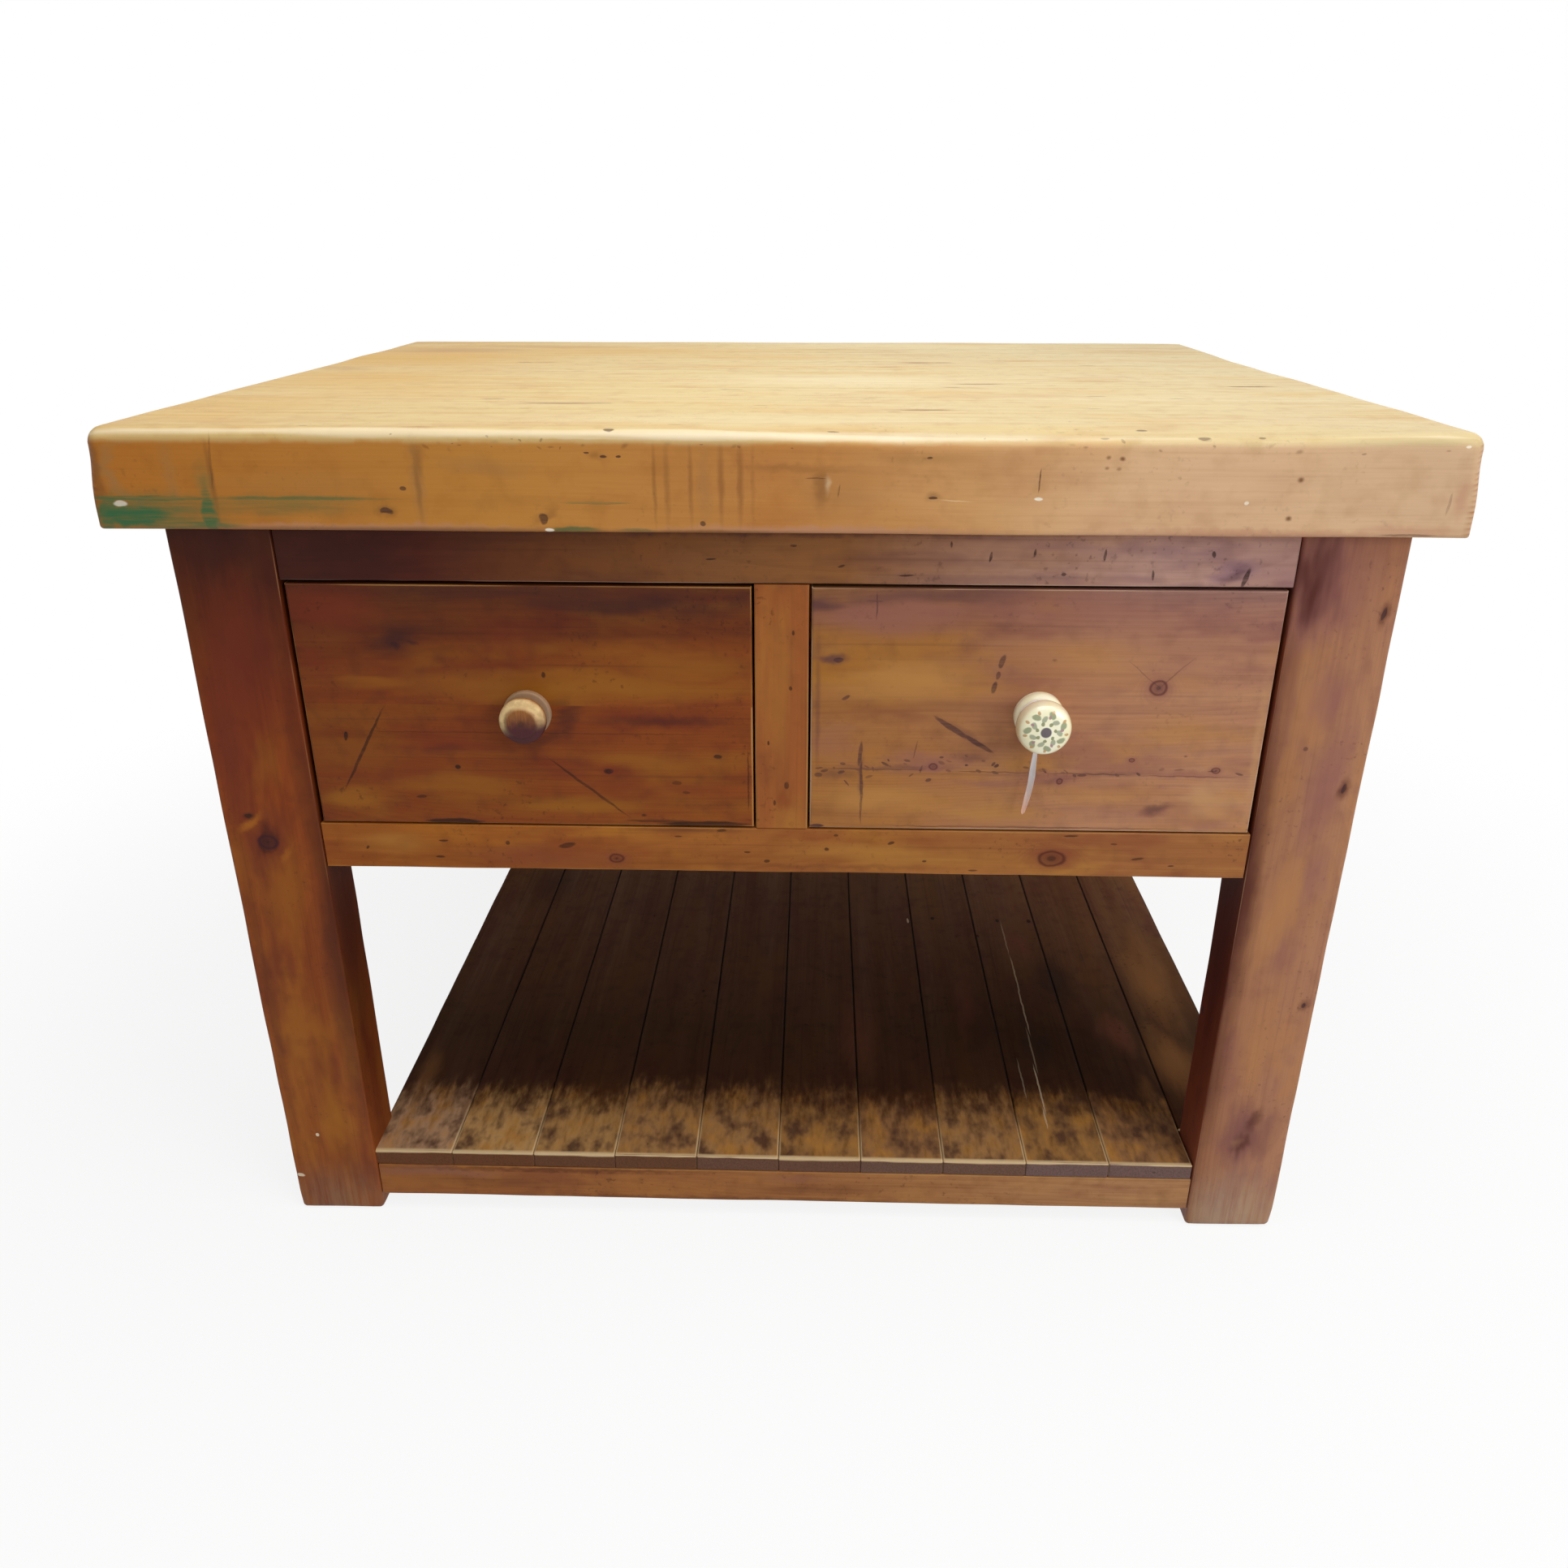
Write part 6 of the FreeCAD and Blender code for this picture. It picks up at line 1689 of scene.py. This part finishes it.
@dataclass
class KnobTape:
    """A narrow cotton tape tied round the ceramic knob's waist, its tail hanging in front of the drawer.

    The tail is twisted by the first angle in degrees, swinging by the second at the pace of the third, and its
    width follows the taper: shares of its length, and the share of the width at each.
    """
    route: tuple[Point, ...] = ((0.244606, -0.470, 0.611248), (0.243606, -0.4705, 0.592248),
                                (0.243106, -0.469, 0.572248), (0.240606, -0.4675, 0.554248),
                                (0.237006, -0.468, 0.537248))
    drift: Point = (5.5 * MM, -1.0 * MM, -4.0 * MM)
    width: float = 7 * MM
    thickness: float = 0.6 * MM
    length: float = 0.0746
    loop_radius: float = 21.05 * MM
    loop_width: float = 4.2 * MM
    knot: Point = (3.4 * MM, 2.2 * MM, 2.6 * MM)
    twist: tuple[float, float, float] = (8, 34, 3.4)
    taper: tuple[tuple[float, ...], ...] = ((0, 0.08, 0.4, 0.75, 0.97, 1.0),
                                            (0.42, 0.55, 1.0, 0.8, 0.55, 0.02))
    thread: float = 0.8 * MM
    faded: str = "#E2AE94"
    clean: str = "#FAF4F4"

    def line(self) -> Array:
        """Points of the route's NURBS spline.

        Returns:
            The points, from the knot to the free end.
        """
        curve = bpy.data.curves.new("tape_line", "CURVE")
        curve.dimensions, curve.resolution_u = "3D", 16
        spline = curve.splines.new("NURBS")
        spline.points.add(len(self.route) - 1)
        for point, place in zip(spline.points, self.route):
            point.co = (*(a + b for a, b in zip(place, self.drift)), 1.0)
        spline.order_u, spline.use_endpoint_u = 3, True
        holder = bpy.data.objects.new("tape_line", curve)
        mesh = bpy.data.meshes.new_from_object(holder)
        points = np.array([tuple(v.co) for v in mesh.vertices])
        bpy.data.objects.remove(holder)
        bpy.data.curves.remove(curve)
        bpy.data.meshes.remove(mesh)
        return points

    def ribbon(self, line: Array, across: Array, half: Array, curl: float, closed: bool) -> tuple[Array,
                                                                                                  Array]:
        """A flat section with round edges carried along a line.

        Args:
            line: the line's points.
            across: the way across the tape at each point.
            half: half the tape's width at each point.
            curl: how far its edges curl.
            closed: whether the line comes back to its start.

        Returns:
            Points and faces.
        """
        ends = np.concatenate([line[-1:], line, line[:1]]) if closed else line
        tangent = np.gradient(ends, axis=0)[1:-1] if closed else np.gradient(ends, axis=0)
        tangent /= np.linalg.norm(tangent, axis=1)[:, None]
        across = across - (across * tangent).sum(1)[:, None] * tangent
        across /= np.linalg.norm(across, axis=1)[:, None]
        through = np.cross(tangent, across)
        turn = np.linspace(0, 2 * np.pi, 24, endpoint=False)
        flat = np.sign(np.cos(turn)) * np.abs(np.cos(turn)) ** 0.6
        rise = 0.5 * self.thickness * np.sin(turn) + curl * flat ** 2
        points = line[:, None] + half[:, None, None] * flat[None, :, None] * across[:, None] \
            + rise[None, :, None] * through[:, None]
        number = np.arange(len(line) * len(turn)).reshape(len(line), -1)
        number = np.concatenate([number, number[:1]]) if closed else number
        after = np.roll(number, -1, axis=1)
        faces = np.stack([number[:-1], number[1:], after[1:], after[:-1]], axis=-1).reshape(-1, 4)
        return points.reshape(-1, 3), faces

    def build(self) -> None:
        """Makes the tail, which is the cord, and the loop with its knot."""
        line = self.line()
        along = np.concatenate([[0], np.cumsum(np.linalg.norm(np.diff(line, axis=0), axis=1))])
        share = along / along[-1]
        start, swing, pace = self.twist
        turn = np.radians(start + swing * np.sin(pace * share))
        half = 0.5 * self.width * np.interp(share, *self.taper)
        tail = self.ribbon(line, np.stack([np.cos(turn), -np.sin(turn), 0 * turn], axis=1), half, 0.5 * MM,
                           False)
        piece = new_piece("knob_tape_ribbon", *tail, RIGHT_DRAWER, "tape", ("knob_tape_tail",))
        cloth = self.cloth()
        cloth.dress(piece)
        low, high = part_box("knob_tape_loop")
        centre = 0.5 * (np.array(low) + np.array(high))
        angle = np.linspace(0, 2 * np.pi, 120, endpoint=False)
        ring = centre + self.loop_radius * np.stack([np.cos(angle), 0 * angle, np.sin(angle)], axis=1)
        ring[:, 1] += 0.4 * MM * np.sin(3 * angle)
        wide = 0.5 * self.loop_width * (1 + 0.12 * np.sin(5 * angle))
        points, faces = self.ribbon(ring, np.tile([0.0, 1.0, 0.0], (len(ring), 1)), wide, 0.0, True)
        bend = np.linspace(0.02, np.pi - 0.02, 20)
        ball, ball_faces = turned(np.stack([np.sin(bend), -np.cos(bend)], axis=1), (0, 0, 0), 32)
        lump = ball * (1 + 0.12 * swell(ball, 1.1, 3))[:, None] * self.knot + line[0] + (0.0, 0.2 * MM,
                                                                                         2.4 * MM)
        loop = new_piece("knob_tape_loop_ribbon", np.concatenate([points, lump]),
                         np.concatenate([faces, ball_faces + len(points)]), RIGHT_DRAWER, "tape",
                         ("knob_tape_loop",), crease=60)
        cloth.dress(loop)

    def cloth(self) -> Graph:
        """Plain-woven cotton tape, its threads 0.4 mm apart, matt, faded from off-white to salmon at its end.

        Returns:
            The finished graph.
        """
        g = Graph(bpy.data.materials.new("woven_cotton_tape"))
        place = g.add("TexCoord", out="Object")
        x, y, z = g.add("SeparateXYZ", place).node.outputs
        fade = g.add("MapRange", z, 0.54, 0.575)
        colour = g.add("MixRGB", fade, self.faded, self.clean)
        warp = g.add("Math.SINE", g.add("Math.MULTIPLY", x, 2 * math.pi / self.thread))
        weft = g.add("Math.SINE", g.add("Math.MULTIPLY", z, 2 * math.pi / self.thread))
        weave = g.add("Math.MULTIPLY", warp, weft)
        bump = g.add("Bump", named={"Strength": 0.6, "Distance": 0.2 * MM, "Height": weave})
        g.add("OutputMaterial", g.add("BsdfPrincipled", named={"Base Color": colour, "Roughness": 0.85,
                                                               "Sheen Weight": 0.2, "Normal": bump}))
        return g


# ---------------------------------------------------------------- the rest of the frame


@dataclass
class Insides:
    """The joinery that stays as the frame has it: runners, guides, drawer boxes, buttons and screws."""
    waxed: tuple[str, ...] = ("lower_left_bearer",)
    zinc: tuple[str, str] = ("#A8A49C", "#86827A")

    def grain_of(self, low: Vector, high: Vector) -> Grain:
        """The grain runs along a piece's longest side.

        Args:
            low: the piece's lowest corner.
            high: its highest corner.

        Returns:
            The way of its grain.
        """
        size = [b - a for a, b in zip(low, high)]
        longest = size.index(max(size))
        if longest == 0:
            return Grain.ALONG_X if size[1] > size[2] else Grain.ALONG_X_UPRIGHT
        if longest == 1:
            return Grain.ALONG_Y if size[0] > size[2] else Grain.ALONG_Y_UPRIGHT
        return Grain.ALONG_Z

    def build(self) -> None:
        """Dresses every node that is still shown and whose slot is inner_pine, waxed_pine or steel."""
        slots = {part["node"]: part["material_slot"] for part in FRAME["record"]["subparts"]}
        finishes = {"inner_pine": INNER_PINE, "waxed_pine": WAXED_PINE}
        steel = self.steel()
        for seed, (node, thing) in enumerate(sorted(FRAME["nodes"].items()), 100):
            if thing.hide_render or slots[node] not in (*finishes, "steel"):
                continue
            if slots[node] == "steel":
                steel.dress(thing)
                continue
            low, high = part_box(node)
            finish = WAXED_PINE if node in self.waxed else finishes[slots[node]]
            board(thing, finish, Cut(self.grain_of(low, high), tuple(low), tuple(high), seed))

    def steel(self) -> Graph:
        """Steel screws and washers, dipped in zinc and dulled with age: grey metal with a fine mottle.

        Returns:
            The finished graph.
        """
        g = Graph(bpy.data.materials.new("zinc_plated_steel"))
        place = g.add("TexCoord", out="Object")
        mottle = g.add("TexNoise", place, named={"Scale": 400.0, "Detail": 2.0})
        colour = g.add("MixRGB", mottle, *self.zinc)
        g.add("OutputMaterial", g.add("BsdfPrincipled", named={"Base Color": colour, "Metallic": 1.0,
                                                               "Roughness": 0.38}))
        return g


# ---------------------------------------------------------------- studio


@dataclass(frozen=True)
class Lamp:
    """A square soft lamp: name, where it hangs and what it faces, side in metres and power in watts."""
    name: str
    place: Point
    aim: Point
    size: float
    power: float


@dataclass
class Studio:
    """A pale floor, soft lamps, a plain world and the camera."""
    lamps: tuple[Lamp, ...] = (Lamp("overhead_lamp", (0.5, -0.7, 3.0), (0.1, 0.1, 0.6), 2.4, 56),
                               Lamp("right_lamp", (2.3, -2.6, 1.9), (0.2, 0.0, 0.5), 1.6, 43))
    ambient: float = 0.25
    shaded: tuple[float, float, float] = (0.8, 1.9, 0.86)
    focal_pixels: float = 1515.77
    stand: Point = (0.0364, -1.57055, 1.0536)
    yaw: float = 1.487
    pitch: float = 24.009
    roll: float = -0.069

    def camera(self) -> None:
        """Stands the camera, turned left by the yaw, down by the pitch and about its own line by the roll."""
        data = bpy.data.cameras.new("camera")
        data.sensor_width = 36.0
        data.lens = 36.0 * self.focal_pixels / IMAGE_SIDE
        turn = (Matrix.Rotation(math.radians(self.yaw), 3, "Z")
                @ Matrix.Rotation(-math.radians(self.pitch), 3, "X")
                @ Matrix.Rotation(math.radians(self.roll), 3, "Y"))
        right, ahead, up = turn.col
        camera = bpy.data.objects.new("camera", data)
        camera.matrix_world = Matrix.Translation(self.stand) @ Matrix((right, up,
                                                                       -ahead)).transposed().to_4x4()
        bpy.context.scene.collection.objects.link(camera)
        bpy.context.scene.camera = camera

    def hang(self, lamp: Lamp) -> None:
        """Hangs a lamp, turned to what it faces.

        Args:
            lamp: the lamp.
        """
        data = bpy.data.lights.new(lamp.name, "AREA")
        data.shape, data.size, data.energy = "SQUARE", lamp.size, lamp.power
        thing = bpy.data.objects.new(lamp.name, data)
        way = Vector(lamp.aim) - Vector(lamp.place)
        thing.matrix_world = Matrix.Translation(lamp.place) @ way.to_track_quat("-Z",
                                                                                "Y").to_matrix().to_4x4()
        bpy.context.scene.collection.objects.link(thing)

    def seen_directly(self, g: Graph) -> Socket:
        """A share that is 1 for rays that see the background: camera, glossy and transmission rays.

        Args:
            g: the graph to add them to.

        Returns:
            The share.
        """
        rays = g.add("LightPath").node.outputs
        seen = g.add("Math.MAXIMUM", rays["Is Camera Ray"], rays["Is Glossy Ray"])
        return g.add("Math.MAXIMUM", seen, rays["Is Transmission Ray"])

    def floor(self) -> None:
        """A pale floor that keeps the table's shadow and fades to white over the shaded distances."""
        mesh = bpy.data.meshes.new("floor")
        mesh.from_pydata([(-30, -12, 0), (30, -12, 0), (30, 40, 0), (-30, 40, 0)], [], [(0, 1, 2, 3)])
        floor = bpy.data.objects.new("floor", mesh)
        bpy.context.scene.collection.objects.link(floor)
        g = Graph(bpy.data.materials.new("pale_floor"))
        far = g.add("VectorMath.LENGTH", g.add("TexCoord", out="Object"), out="Value")
        near, away, least = self.shaded
        share = g.add("MapRange.SMOOTHSTEP", far, near, away, least, 1.0)
        seen = g.add("Math.MULTIPLY", self.seen_directly(g), share)
        plain = g.add("BsdfDiffuse", "#F2F2F2")
        white = g.add("Emission", "#FFFFFF", 1.0)
        g.add("OutputMaterial", g.add("MixShader", seen, plain, white))
        g.dress(floor)

    def build(self) -> None:
        """Lays the floor, hangs the lamps and sets the world."""
        self.floor()
        for lamp in self.lamps:
            self.hang(lamp)
        world = bpy.data.worlds.new("studio")
        bpy.context.scene.world = world
        g = Graph(world)
        light, seen = (g.add("Background", "#FFFFFF", power) for power in (self.ambient, 1.0))
        g.add("OutputWorld", g.add("MixShader", self.seen_directly(g), light, seen))
        bpy.context.scene.view_settings.view_transform = "Standard"


def main() -> None:
    """Loads the frame, stands the camera, and builds the table piece by piece."""
    logging.basicConfig(level=logging.INFO, format="%(name)s: %(message)s")
    FRAME.update(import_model())
    studio = Studio()
    studio.camera()
    for part in (KnobTape(), Worktop(), LegFrame(), Shelf(), Drawers(), WoodenKnob(), CeramicKnob(),
                 Insides(), studio):
        LOG.info("building %s", type(part).__name__)
        part.build()


if __name__ == "__main__":
    main()
